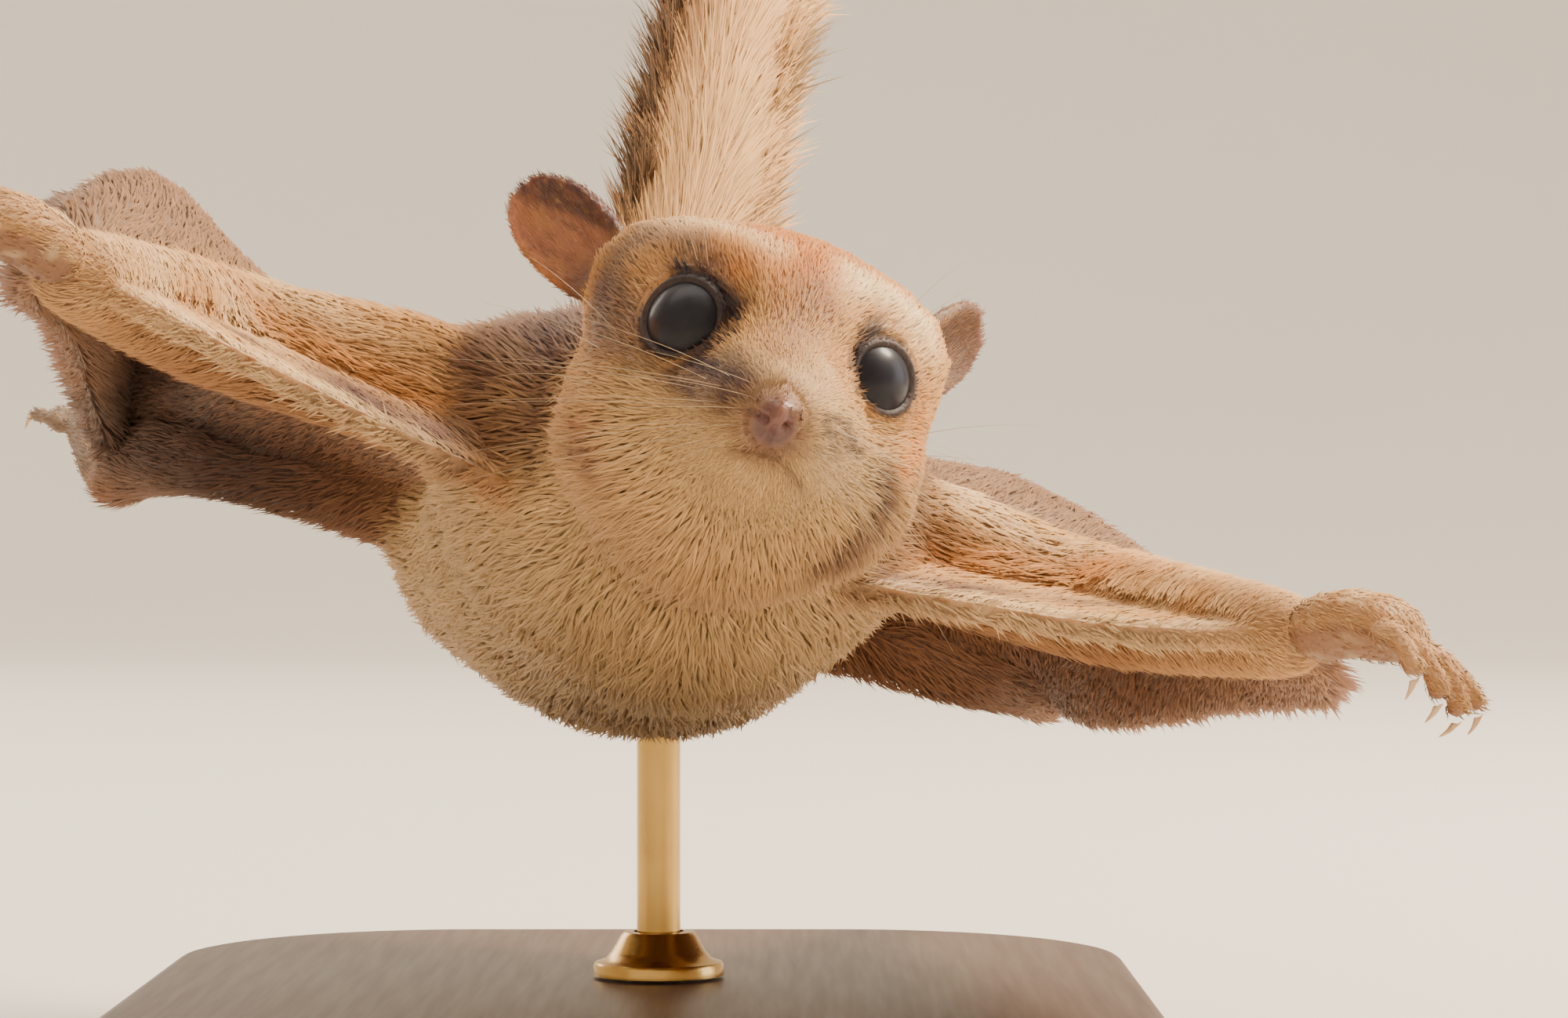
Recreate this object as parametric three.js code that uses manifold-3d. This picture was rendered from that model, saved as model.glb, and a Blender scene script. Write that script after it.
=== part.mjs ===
// A southern flying squirrel in a glide, life size, held over a flat base by a short rod.
// Millimetres and degrees, +Z up. The origin is the middle of the underside of the base.
// The animal is made in a frame of its own: +X is its left, +Y its tail end and +Z its back,
// with the origin between the shoulders. Groups then pitch, turn and bank it over the base.

import * as THREE from "three";
import { mergeVertices } from "three/addons/utils/BufferGeometryUtils.js";
import Module from "manifold-3d";

const wasm = await Module();
wasm.setup();

// Driving sizes of the animal.
const gap = 0.3; // between pieces that touch
const headLength = 37;
const trunkLength = 98; // from the throat to the tail root
const trunkHalfWidth = 20.5; // to the tips of the coat
const tailLength = 100;
const wristReach = 50; // from the midline to a wrist
const wristForward = 28; // from the shoulders to a wrist
const ankleReach = 49;
const ankleBack = 83;
const hipBack = 64;
const eyeRadius = 4.3;

// How it is held over the base.
const pitchUp = 9.3;
const turnToLeft = 5;
const bankToLeft = 17.5;
const shouldersFromAxis = new THREE.Vector3(-10.5, 28, -0.3); // before the bank, from the axis it banks about
const bankAxis = new THREE.Vector3(13, -62, 52); // a point on that axis, over the base

// Sizes of the stand.
const base = { width: 92, depth: 112, thick: 9, corner: 26, bevel: 1.6 };
const rod = { radius: 2, into: 6 };
const collar = { radius: 6, height: 4 };

const vec = (x, y, z) => new THREE.Vector3(x, y, z);
const lerp = THREE.MathUtils.lerp;
const radians = THREE.MathUtils.degToRad;

// Solids and cuts.

function solidOf(geometry) {
  const bare = new THREE.BufferGeometry()
    .setAttribute("position", geometry.getAttribute("position"))
    .setIndex(geometry.index);
  const merged = mergeVertices(bare, 1e-4);
  const triVerts = new Uint32Array(merged.index.array);
  const vertProperties = new Float32Array(merged.attributes.position.array);
  const made = new wasm.Manifold(new wasm.Mesh({ numProp: 3, vertProperties, triVerts }));
  if (made.volume() > 0) return made;
  for (let i = 0; i < triVerts.length; i += 3) {
    [triVerts[i], triVerts[i + 1]] = [triVerts[i + 1], triVerts[i]];
  }
  return new wasm.Manifold(new wasm.Mesh({ numProp: 3, vertProperties, triVerts }));
}

function geometryOf(solid) {
  const mesh = solid.getMesh();
  return new THREE.BufferGeometry()
    .setAttribute("position", new THREE.BufferAttribute(new Float32Array(mesh.vertProperties), 3))
    .setIndex(new THREE.BufferAttribute(new Uint32Array(mesh.triVerts), 1));
}

// The one closed body of a cut that matters.
function largest(solid) {
  const bodies = solid.decompose();
  return bodies.reduce((a, b) => (b.volume() > a.volume() ? b : a));
}

const join = (solids) => solids.reduce((a, b) => a.add(b));

// The piece without the space of its neighbours and the gap round them.
function fit(piece, neighbours) {
  return largest(neighbours.reduce((left, other) => left.subtract(other), piece));
}

// All the space of the animal between two distances back.
function slab(from, to) {
  const wide = 400;
  return solidOf(new THREE.BoxGeometry(wide, to - from, wide).translate(0, (from + to) / 2, 0));
}

// A geometry with every vertex moved out along its normal.
function grown(geometry, amount) {
  const out = mergeVertices(
    new THREE.BufferGeometry()
      .setAttribute("position", geometry.getAttribute("position").clone())
      .setIndex(geometry.index),
    1e-4,
  );
  out.computeVertexNormals();
  const place = out.attributes.position;
  const normal = out.attributes.normal;
  for (let i = 0; i < place.count; i++) {
    place.setXYZ(
      i,
      place.getX(i) + amount * normal.getX(i),
      place.getY(i) + amount * normal.getY(i),
      place.getZ(i) + amount * normal.getZ(i),
    );
  }
  return out;
}

// Shapes.

// Rings of points, closed to a point at each end, with the faces turned outwards.
function closedRings(start, rings, end) {
  const around = rings[0].length;
  const points = [start, ...rings.flat(), end];
  const last = points.length - 1;
  const at = (ring, k) => 1 + ring * around + (k % around);
  const faces = [];
  for (let k = 0; k < around; k++) {
    faces.push(0, at(0, k), at(0, k + 1));
    for (let r = 0; r + 1 < rings.length; r++) {
      faces.push(at(r, k), at(r + 1, k), at(r + 1, k + 1));
      faces.push(at(r, k), at(r + 1, k + 1), at(r, k + 1));
    }
    faces.push(at(rings.length - 1, k + 1), at(rings.length - 1, k), last);
  }
  const geometry = new THREE.BufferGeometry().setFromPoints(points).setIndex(faces);
  const tetra = (a, b, c) => points[a].dot(points[b].clone().cross(points[c]));
  let volume = 0;
  for (let i = 0; i < faces.length; i += 3) volume += tetra(faces[i], faces[i + 1], faces[i + 2]);
  if (volume < 0) {
    for (let i = 0; i < faces.length; i += 3) [faces[i], faces[i + 1]] = [faces[i + 1], faces[i]];
    geometry.setIndex(faces);
  }
  return geometry;
}

// A round-ended body along a curve. section(t) gives its half width along across and its half height.
function along(curve, section, across, around, steps) {
  const rings = [];
  for (let i = 1; i < steps; i++) {
    const t = (1 - Math.cos((Math.PI * i) / steps)) / 2;
    const centre = curve.getPointAt(t);
    const tangent = curve.getTangentAt(t);
    const side = across.clone().addScaledVector(tangent, -across.dot(tangent)).normalize();
    const up = side.clone().cross(tangent);
    const { wide, high } = section(t);
    rings.push(
      Array.from({ length: around }, (_, k) => {
        const turn = (2 * Math.PI * k) / around;
        return centre
          .clone()
          .addScaledVector(side, wide * Math.cos(turn))
          .addScaledVector(up, high * Math.sin(turn));
      }),
    );
  }
  return closedRings(curve.getPointAt(0), rings, curve.getPointAt(1));
}

// The share of the full section at t, rounded off over the first and the last part of the length.
function roundEnds(t, first, last) {
  const cap = (s) => Math.sqrt(Math.max(0, 1 - (1 - Math.min(1, s)) ** 2));
  return cap(t / first) * cap((1 - t) / last);
}

const curveThrough = (points) => new THREE.CatmullRomCurve3(points, false, "centripetal");

// How far p is outside an ellipsoid with its centre at and half sizes half.
function outsideLump(p, { at, half }) {
  const q = p.clone().sub(at).divide(half);
  const slope = q.clone().divide(half).length();
  return slope > 1e-9 ? (q.length() * (q.length() - 1)) / slope : -half.x;
}

// How far p is outside lumps that blend into each other, less the hollows pressed into them.
function outside(p, form) {
  const near = form.lumps.reduce((sum, one) => sum + Math.exp(-outsideLump(p, one) / form.blend), 0);
  const solid = -form.blend * Math.log(near);
  return (form.hollows ?? []).reduce((distance, one) => {
    const pressed = -outsideLump(p, one);
    const soft = form.hollowBlend;
    return soft * Math.log(Math.exp(distance / soft) + Math.exp(pressed / soft));
  }, solid);
}

// The distance from a point inside a form to its surface, in a direction.
function reach(from, direction, form, most) {
  let near = 0;
  let far = most;
  for (let i = 0; i < 26; i++) {
    const middle = (near + far) / 2;
    const p = from.clone().addScaledVector(direction, middle);
    if (outside(p, form) < 0) near = middle;
    else far = middle;
  }
  return (near + far) / 2;
}

// The skin of a form, in rings round a spine that runs from front to back through it.
// spacing(s) spreads the rings from 0 to 1.
function skinOver(form, spine, around, steps, spacing = (s) => s) {
  const most = 60;
  const front = spine.getPointAt(0);
  const back = spine.getPointAt(1);
  const ahead = vec(0, -1, 0);
  const start = front.clone().addScaledVector(ahead, reach(front, ahead, form, most));
  const end = back.clone().addScaledVector(ahead, -reach(back, ahead.clone().negate(), form, most));
  const rings = [];
  for (let i = 1; i < steps; i++) {
    const y = lerp(start.y, end.y, spacing(i / steps));
    const t = THREE.MathUtils.clamp((y - front.y) / (back.y - front.y), 0, 1);
    const centre = spine.getPointAt(t).setY(y);
    rings.push(
      Array.from({ length: around }, (_, k) => {
        const turn = (2 * Math.PI * (k + 0.5)) / around;
        const direction = vec(Math.cos(turn), 0, Math.sin(turn));
        return centre.clone().addScaledVector(direction, reach(centre, direction, form, most));
      }),
    );
  }
  return closedRings(start, rings, end);
}

// The skin of a form that can all be seen from one point inside it, in rings round the -Y axis.
// spacing(s) spreads the rings from 0 at the front to 1 at the back.
function skinRound(form, centre, around, steps, spacing) {
  const most = 60;
  const along = (direction) =>
    centre.clone().addScaledVector(direction, reach(centre, direction, form, most));
  const rings = [];
  for (let i = 1; i < steps; i++) {
    const polar = Math.PI * spacing(i / steps);
    rings.push(
      Array.from({ length: around }, (_, k) => {
        const turn = (2 * Math.PI * (k + 0.5)) / around;
        const wide = Math.sin(polar);
        return along(vec(wide * Math.cos(turn), -Math.cos(polar), wide * Math.sin(turn)));
      }),
    );
  }
  return closedRings(along(vec(0, -1, 0)), rings, along(vec(0, 1, 0)));
}

// A sheet with thickness over a grid of points, both faces split alike.
function sheet(columns, rows, pointAt, halfThickAt) {
  const step = 1e-3;
  const top = [];
  const under = [];
  for (let j = 0; j <= rows; j++) {
    for (let i = 0; i <= columns; i++) {
      const u = i / columns;
      const v = j / rows;
      const alongU = pointAt(Math.min(1, u + step), v).sub(pointAt(Math.max(0, u - step), v));
      const alongV = pointAt(u, Math.min(1, v + step)).sub(pointAt(u, Math.max(0, v - step)));
      const normal = alongU.cross(alongV).normalize();
      const point = pointAt(u, v);
      top.push(point.clone().addScaledVector(normal, halfThickAt(u, v)));
      under.push(point.clone().addScaledVector(normal, -halfThickAt(u, v)));
    }
  }
  const at = (i, j) => j * (columns + 1) + i;
  const low = top.length;
  const faces = [];
  const wall = (a, b) => faces.push(a, low + a, low + b, a, low + b, b);
  for (let j = 0; j < rows; j++) {
    for (let i = 0; i < columns; i++) {
      const [a, b, c, d] = [at(i, j), at(i + 1, j), at(i + 1, j + 1), at(i, j + 1)];
      faces.push(a, b, c, a, c, d);
      faces.push(low + a, low + c, low + b, low + a, low + d, low + c);
    }
  }
  for (let i = 0; i < columns; i++) {
    wall(at(i, 0), at(i + 1, 0));
    wall(at(i + 1, rows), at(i, rows));
  }
  for (let j = 0; j < rows; j++) {
    wall(at(columns, j), at(columns, j + 1));
    wall(at(0, j + 1), at(0, j));
  }
  return new THREE.BufferGeometry().setFromPoints([...top, ...under]).setIndex(faces);
}

// A patch between four edge curves that meet at its corners.
function patch(nearV0, nearV1, nearU0, nearU1) {
  return (u, v) => {
    const a = nearV0(u).clone().multiplyScalar(1 - v);
    a.addScaledVector(nearV1(u), v);
    a.addScaledVector(nearU0(v), 1 - u);
    a.addScaledVector(nearU1(v), u);
    a.addScaledVector(nearV0(0), -(1 - u) * (1 - v));
    a.addScaledVector(nearV0(1), -u * (1 - v));
    a.addScaledVector(nearV1(0), -(1 - u) * v);
    a.addScaledVector(nearV1(1), -u * v);
    return a;
  };
}

const lump = (x, y, z, a, b, c) => ({ at: vec(x, y, z), half: vec(a, b, c) });
const pair = (x, y, z, a, b, c) => [lump(x, y, z, a, b, c), lump(-x, y, z, a, b, c)];

// The head, in a frame at its middle that looks along -Y.
const noseTip = vec(0, -headLength / 2 + 0.6, -4.3);
const headPlace = new THREE.Matrix4()
  .makeTranslation(4.0, -23.9, 5.0)
  .multiply(new THREE.Matrix4().makeRotationFromEuler(new THREE.Euler(0, 0, radians(4))));

const headForm = {
  blend: 1.5,
  hollowBlend: 1.0,
  hollows: pair(10.3, -8.8, 2.4, 3.9, 3.8, 3.5),
  lumps: [
    lump(0.2, 5.4, 2.8, 12.6, 13.2, 10.4), // cranium
    ...pair(9.0, 6.4, 6.0, 5.6, 7.6, 5.4), // temples
    ...pair(6.6, 2.4, -4.3, 7.8, 10.2, 7.5), // cheeks
    lump(0, -3.0, 3.6, 8.2, 6.8, 6.2), // forehead
    ...pair(6.2, -1.4, 5.8, 3.8, 4.0, 2.8), // brows
    lump(0, -6.2, -3.2, 6.6, 7.2, 6.0), // face
    lump(0, -9.8, -2.9, 3.9, 7.2, 3.6), // bridge of the nose
    ...pair(2.4, -11.8, -5.0, 2.8, 3.9, 2.4), // whisker pads
    lump(0, -9.4, -8.0, 3.2, 4.6, 2.5), // chin
    lump(-0.3, 5.6, -9.4, 9.0, 11.4, 6.8), // throat
  ],
};

function headSkin() {
  return skinRound(headForm, vec(0, -2.5, -1.2), 30, 26, (s) => s ** 1.2).applyMatrix4(headPlace);
}

const eyeCentre = (side) => vec(side * 6.4, -3.5, 2.1);
const eyeLook = (side) => vec(side * 0.6, -0.78, 0.12).normalize();

function eyeball(side, radius, around, steps) {
  const place = eyeCentre(side).applyMatrix4(headPlace);
  return new THREE.SphereGeometry(radius, around, steps).translate(place.x, place.y, place.z);
}

// Lids as a rolled rim round the opening of the eye.
function lids(side) {
  const rim = { radius: 3.75, thick: 0.7, out: 2.8, flatter: 0.9 };
  const facing = new THREE.Matrix4().lookAt(eyeLook(side), vec(0, 0, 0), vec(0, 0, 1));
  const centre = eyeCentre(side).addScaledVector(eyeLook(side), rim.out);
  return new THREE.TorusGeometry(rim.radius, rim.thick, 5, 18)
    .scale(1, rim.flatter, 1)
    .applyMatrix4(facing)
    .translate(centre.x, centre.y, centre.z)
    .applyMatrix4(headPlace);
}

// The bare pad of the nose, its nostrils, and the line of the mouth under it.
function nosePad() {
  return new THREE.SphereGeometry(1, 14, 10)
    .scale(2.0, 1.5, 1.6)
    .translate(noseTip.x, noseTip.y + 0.9, noseTip.z)
    .applyMatrix4(headPlace);
}

function nostril(side) {
  const hole = curveThrough([
    vec(side * 0.6, noseTip.y - 0.7, noseTip.z - 0.3),
    vec(side * 1.15, noseTip.y - 0.1, noseTip.z + 0.05),
    vec(side * 1.7, noseTip.y + 0.9, noseTip.z + 0.5),
  ]);
  const section = (t) => ({ wide: 0.42 * roundEnds(t, 0.3, 0.3), high: 0.42 * roundEnds(t, 0.3, 0.3) });
  return along(hole, section, vec(0, 0, 1), 6, 5).applyMatrix4(headPlace);
}

function mouthLine() {
  const lip = [-1, -0.8, -0.55, -0.28, 0, 0.28, 0.55, 0.8, 1].map((along) => {
    const height = noseTip.z - 2.7 - 1.3 * Math.abs(along) ** 1.2;
    const direction = vec(Math.sin(along * 0.95), -Math.cos(along * 0.95), 0);
    const from = vec(0, -9.4, height);
    return from.addScaledVector(direction, reach(from, direction, headForm, 20) + 0.05);
  });
  const section = (t) => ({ wide: 0.36 * roundEnds(t, 0.1, 0.1), high: 0.36 * roundEnds(t, 0.1, 0.1) });
  return along(curveThrough(lip), section, vec(0, 0, 1), 5, 24).applyMatrix4(headPlace);
}

// An ear: a thin cup that narrows to its root. tip is the way it points and open the way its cup faces.
const earSize = { length: 13.4, halfWidth: 3.7, halfThick: 0.42, cup: 2.2, sunk: 2.5, round: 0.5 };
const ears = {
  left: { root: vec(13.0, 9.0, 6.6), tip: vec(0.5, 0.5, 0.64), open: vec(0.85, -0.5, 0.05) },
  right: { root: vec(-13.3, 8.0, 6.4), tip: vec(-0.84, 0.3, 0.5), open: vec(-0.2, -0.92, -0.12) },
};

function ear(name) {
  const { root, tip, open } = ears[name];
  const up = tip.clone().normalize();
  const front = open.clone().addScaledVector(up, -open.dot(up)).normalize();
  const across = up.clone().cross(front);
  const width = (a) => {
    const leaf = 0.5 + 0.5 * Math.sin(Math.PI * Math.min(1, a * 0.85)) ** 0.8;
    return earSize.halfWidth * leaf * Math.sqrt(1 - a ** 7);
  };
  const pointAt = (u, s) => {
    const b = 2 * u - 1;
    const v = 0.97 * (1 - (1 - s) ** 1.2); // stops short of the tip, which stays round
    const half = width(v);
    const depth = earSize.cup * (1 - 0.45 * v) * (1 - b * b) * (half / earSize.halfWidth);
    return root
      .clone()
      .addScaledVector(up, earSize.length * v - earSize.sunk - earSize.round * b * b * v ** 4)
      .addScaledVector(across, half * b)
      .addScaledVector(front, -depth);
  };
  const halfThick = (u, v) => earSize.halfThick * (1 + 0.7 * (1 - v));
  return sheet(8, 8, pointAt, halfThick).applyMatrix4(headPlace);
}

// The trunk, and the neck that joins it to the head.
const trunkForm = {
  blend: 3.2,
  lumps: [
    lump(3.2, -5, 0.2, 14.6, 14, 13.8), // base of the neck
    lump(2.4, 10, -1.8, 18.6, 20, 15.4), // chest
    ...pair(13.5, 3, 2.2, 8.0, 10, 6.6), // shoulders
    lump(2.2, 36, -2.2, trunkHalfWidth - 1, 28, 15.8), // belly
    lump(0.8, 62, -0.6, 16.6, 19, 12.2), // rump
    ...pair(9.5, 60, -1.5, 9.6, 13, 8.4), // haunches
    lump(0, trunkLength - 17, 3.5, 7.6, 10, 7.4), // root of the tail
  ],
};

function trunkSkin() {
  const spine = curveThrough([
    vec(2.8, -8, 0),
    vec(2.2, 12, -1.5),
    vec(2, 40, -2),
    vec(0.6, 64, 0),
    vec(0, 84, 3),
  ]);
  const spacing = (s) => lerp(s, (1 - Math.cos(Math.PI * s)) / 2, 0.6);
  return skinOver(trunkForm, spine, 26, 20, spacing);
}

function neckSkin() {
  const spine = curveThrough([vec(3.9, -22, 3.4), vec(3.6, -13, 1.8), vec(3, -2, 0)]);
  const section = (t) => ({
    wide: lerp(13.6, 15.2, t) * roundEnds(t, 0.35, 0.35),
    high: lerp(11.6, 14.0, t) * roundEnds(t, 0.35, 0.35),
  });
  return along(spine, section, vec(1, 0, 0), 16, 7);
}

// The forelegs.
const shoulder = (side) => vec(side * 9, 1, 1);
const elbow = (side) => vec(side * 36, 0.5, 0.6);
const wristHeight = { 1: -1.6, "-1": -3.2 };
const wrist = (side) => vec(side * wristReach, -wristForward, wristHeight[side]);
const armCurve = (side) =>
  curveThrough([
    shoulder(side),
    shoulder(side).lerp(elbow(side), 0.5).add(vec(0, 0.6, 0.3)),
    elbow(side),
    elbow(side).lerp(wrist(side), 0.5).add(vec(side * 1.6, 1.2, 0.2)),
    wrist(side),
  ]);

function foreleg(side) {
  const section = (t) => {
    const ends = roundEnds(t, 0.1, 0.06);
    return { wide: lerp(7.6, 3.2, t ** 0.9) * ends, high: lerp(6.6, 2.9, t ** 1.1) * ends };
  };
  return along(armCurve(side), section, vec(0, 1, 0), 14, 16);
}

// The hind legs.
const hip = (side) => vec(side * 7, hipBack + 1, 0.5);
const kneeHeight = { 1: 0.6, "-1": -1.4 };
const knee = (side) => vec(side * 35, 55, kneeHeight[side]);
const ankles = { 1: vec(ankleReach, ankleBack, 3.4), "-1": vec(-ankleReach + 1.5, ankleBack + 1, -4.0) };
const ankle = (side) => ankles[side].clone();
const legCurve = (side) =>
  curveThrough([
    hip(side),
    hip(side).lerp(knee(side), 0.55).add(vec(0, -1.5, 0.8)),
    knee(side),
    knee(side).lerp(ankle(side), 0.5).add(vec(side * 2, 0, 0.6)),
    ankle(side),
  ]);

function hindLeg(side) {
  const section = (t) => {
    const ends = roundEnds(t, 0.1, 0.07);
    return { wide: lerp(9.0, 3.2, t ** 0.8) * ends, high: lerp(7.2, 2.8, t ** 0.7) * ends };
  };
  return along(legCurve(side), section, vec(0, 1, 0.2), 14, 16);
}

// Paws: a flat palm with toes that spread and curl, and a claw on each.
function toeCurve(start, forward, up, length, curl) {
  const points = Array.from({ length: 5 }, (_, i) => {
    const turn = (curl * i) / 4;
    const ahead = (length * Math.sin(turn)) / curl;
    const down = (length * (1 - Math.cos(turn))) / curl;
    return start.clone().addScaledVector(forward, ahead).addScaledVector(up, -down);
  });
  const endForward = forward.clone().multiplyScalar(Math.cos(curl)).addScaledVector(up, -Math.sin(curl));
  const endUp = up.clone().multiplyScalar(Math.cos(curl)).addScaledVector(forward, Math.sin(curl));
  return { curve: curveThrough(points), tip: points[4], endForward, endUp };
}

function paw({ root, forward, up, palm, toes, claw }) {
  const ahead = forward.clone().normalize();
  const above = up.clone().addScaledVector(ahead, -up.dot(ahead)).normalize();
  const across = ahead.clone().cross(above);
  const palmCurve = curveThrough([
    root.clone().addScaledVector(ahead, -palm.heel),
    root.clone().addScaledVector(ahead, palm.length * 0.45).addScaledVector(above, palm.arch),
    root.clone().addScaledVector(ahead, palm.length),
  ]);
  const palmSection = (t) => {
    const ends = roundEnds(t, 0.3, 0.3);
    return { wide: lerp(palm.wristHalf, palm.halfWidth, t ** 0.7) * ends, high: palm.halfThick * ends };
  };
  const pieces = [solidOf(along(palmCurve, palmSection, across, 12, 8))];
  const claws = toes.map(({ offset, spread, length, curl, radius }) => {
    const turn = radians(spread);
    const way = ahead.clone().multiplyScalar(Math.cos(turn)).addScaledVector(across, Math.sin(turn));
    const start = root
      .clone()
      .addScaledVector(ahead, palm.length * 0.72)
      .addScaledVector(across, offset);
    const toe = toeCurve(start, way, above, length, radians(curl));
    const swell = (t) => 0.9 + 0.16 * Math.sin(Math.PI * t * 2.2) + 0.1 * t;
    const section = (t) => {
      const half = radius * swell(t) * roundEnds(t, 0.15, 0.16);
      return { wide: half, high: half };
    };
    pieces.push(solidOf(along(toe.curve, section, across, 7, 7)));
    return clawOf(toe, claw, across);
  });
  return { flesh: join(pieces), claws };
}

function clawOf(toe, claw, across) {
  const start = toe.tip.clone().addScaledVector(toe.endForward, -claw.sunk).addScaledVector(toe.endUp, 0.25);
  const hook = toeCurve(start, toe.endForward, toe.endUp, claw.length + claw.sunk, radians(claw.curl));
  const section = (t) => {
    const half = claw.radius * (1 - t) ** 0.7 * roundEnds(t, 0.1, 0.02);
    return { wide: half * 0.75, high: half };
  };
  return solidOf(along(hook.curve, section, across, 5, 5));
}

const forePalm = { length: 9.8, heel: 1.6, arch: 1.2, wristHalf: 3.2, halfWidth: 4.6, halfThick: 2.8 };
const foreClaw = { length: 2.1, sunk: 1.0, curl: 65, radius: 0.54 };
const foreWays = { 1: vec(0.78, -0.62, 0.14), "-1": vec(-0.88, -0.44, 0.04) };

function forepaw(side) {
  return paw({
    root: wrist(side),
    forward: foreWays[side],
    up: vec(side * 0.05, -0.12, 1),
    palm: forePalm,
    claw: foreClaw,
    toes: [
      { offset: -side * 3.6, spread: -side * 31, length: 7.8, curl: 70, radius: 1.2 },
      { offset: -side * 1.3, spread: -side * 12, length: 8.6, curl: 92, radius: 1.25 },
      { offset: side * 1.3, spread: side * 8, length: 8.2, curl: 84, radius: 1.25 },
      { offset: side * 3.6, spread: side * 22, length: 6.8, curl: 72, radius: 1.2 },
    ],
  });
}

const hindPalm = { length: 15, heel: 3.2, arch: 0.6, wristHalf: 2.9, halfWidth: 4.0, halfThick: 2.3 };
const hindClaw = { length: 2.6, sunk: 1.0, curl: 60, radius: 0.66 };
const hindWays = {
  1: { forward: vec(0.3, 0.86, 0.42), up: vec(-0.1, -0.4, 0.9) },
  "-1": { forward: vec(-0.3, 0.8, 0.52), up: vec(-0.1, -0.5, 0.85) },
};

function hindpaw(side) {
  return paw({
    root: ankle(side),
    forward: hindWays[side].forward,
    up: hindWays[side].up,
    palm: hindPalm,
    claw: hindClaw,
    toes: [
      { offset: -side * 3.2, spread: -side * 24, length: 6.2, curl: 30, radius: 1.15 },
      { offset: -side * 1.7, spread: -side * 11, length: 8.2, curl: 32, radius: 1.25 },
      { offset: 0, spread: 0, length: 8.8, curl: 34, radius: 1.3 },
      { offset: side * 1.7, spread: side * 11, length: 8.4, curl: 32, radius: 1.25 },
      { offset: side * 3.2, spread: side * 23, length: 7.0, curl: 30, radius: 1.15 },
    ],
  });
}

// The gliding membrane behind each foreleg: between foreleg, flank, hind leg and its free edge, and billowed by the air.
const billow = {
  1: { height: 11.6, peak: 0.36, edge: 2.2, fore: 0.9 },
  "-1": { height: 13.2, peak: 0.82, edge: 0.45, fore: 0.66 },
};
const membraneHalfThick = { inner: 1.7, edge: 0.9 };

const spurReach = { 1: 56, "-1": 53 };
function freeEdge(side) {
  return curveThrough([
    wrist(side),
    vec(side * spurReach[side], -17, wristHeight[side] - 1.2), // tip of the cartilage spur at the wrist
    vec(side * (spurReach[side] - 1.6), 14, -1.8),
    vec(side * 50.5, 50, -1.4),
    ankle(side),
  ]);
}

function rearMembrane(side) {
  const { height, peak, edge, fore } = billow[side];
  const arm = armCurve(side);
  const leg = legCurve(side);
  const outer = freeEdge(side);
  const flank = new THREE.LineCurve3(shoulder(side), hip(side));
  const flat = patch(
    (u) => arm.getPointAt(u),
    (u) => leg.getPointAt(u),
    (v) => flank.getPointAt(v),
    (v) => outer.getPointAt(v),
  );
  const rise = peak / (1 - peak) * edge;
  const swell = (u) => (u ** rise * (1 - u) ** edge) / (peak ** rise * (1 - peak) ** edge);
  const pointAt = (s, v) => {
    const u = 1 - (1 - s) ** 1.5;
    const lift = height * swell(u) * Math.sin(Math.PI * v ** fore) ** 0.9;
    return flat(u, v).add(vec(0, 0, lift));
  };
  const halfThick = (s) => lerp(membraneHalfThick.inner, membraneHalfThick.edge, s);
  return sheet(12, 12, pointAt, halfThick);
}

// The narrow membrane in front of each foreleg, from the side of the neck to the wrist.
function frontMembrane(side) {
  const arm = armCurve(side);
  const leading = curveThrough([
    vec(side * 5, -3, -7.4),
    vec(side * 13, -9.6, -6.6),
    vec(side * 24, -15.2, -5.8),
    vec(side * 38, -21.5, -4.4),
    wrist(side),
  ]);
  const root = new THREE.LineCurve3(leading.getPointAt(0), shoulder(side));
  const flat = patch(
    (u) => leading.getPointAt(u),
    (u) => arm.getPointAt(u),
    (v) => root.getPointAt(v),
    () => wrist(side),
  );
  const halfThick = (u, v) => lerp(1.0, 1.5, v) * (1 - 0.35 * u);
  return sheet(12, 4, (u, v) => flat(Math.min(u, 0.985), v), halfThick);
}

// The tail: a flat core with locks along both sides that sweep out and towards the tip.
const tailCurve = curveThrough([
  vec(0, 82, 4),
  vec(0, 87, 18),
  vec(0.4, 90, 37),
  vec(-0.8, 96, 63),
  vec(-1.6, 104, 84),
  vec(-2.2, 113, 82 + tailLength * 0.2),
]);
const tailCore = { halfWidth: 5.4, halfThick: 2.5 };
const lock = { count: 13, length: 17, halfWidth: 3.0, halfThick: 0.9, spread: 34 };

function tailLock(t, side, length, spread) {
  const centre = tailCurve.getPointAt(t);
  const tangent = tailCurve.getTangentAt(t);
  const out = vec(side, 0, 0);
  const back = out.clone().cross(tangent).multiplyScalar(side);
  const turn = radians(spread);
  const way = (angle) => tangent.clone().multiplyScalar(Math.cos(angle)).addScaledVector(out, Math.sin(angle));
  const start = centre.clone().addScaledVector(out, 1.2);
  const middle = start.clone().addScaledVector(way(turn * 1.25), length * 0.5);
  const end = middle.clone().addScaledVector(way(turn * 0.62), length * 0.5).addScaledVector(back, -0.6);
  const section = (s) => {
    const taper = (1 - s ** 2.2) * roundEnds(s, 0.3, 0.05) + 0.02;
    return { wide: lock.halfWidth * taper, high: lock.halfThick * taper };
  };
  return solidOf(along(curveThrough([start, middle, end]), section, way(turn + Math.PI / 2), 4, 4));
}

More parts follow.
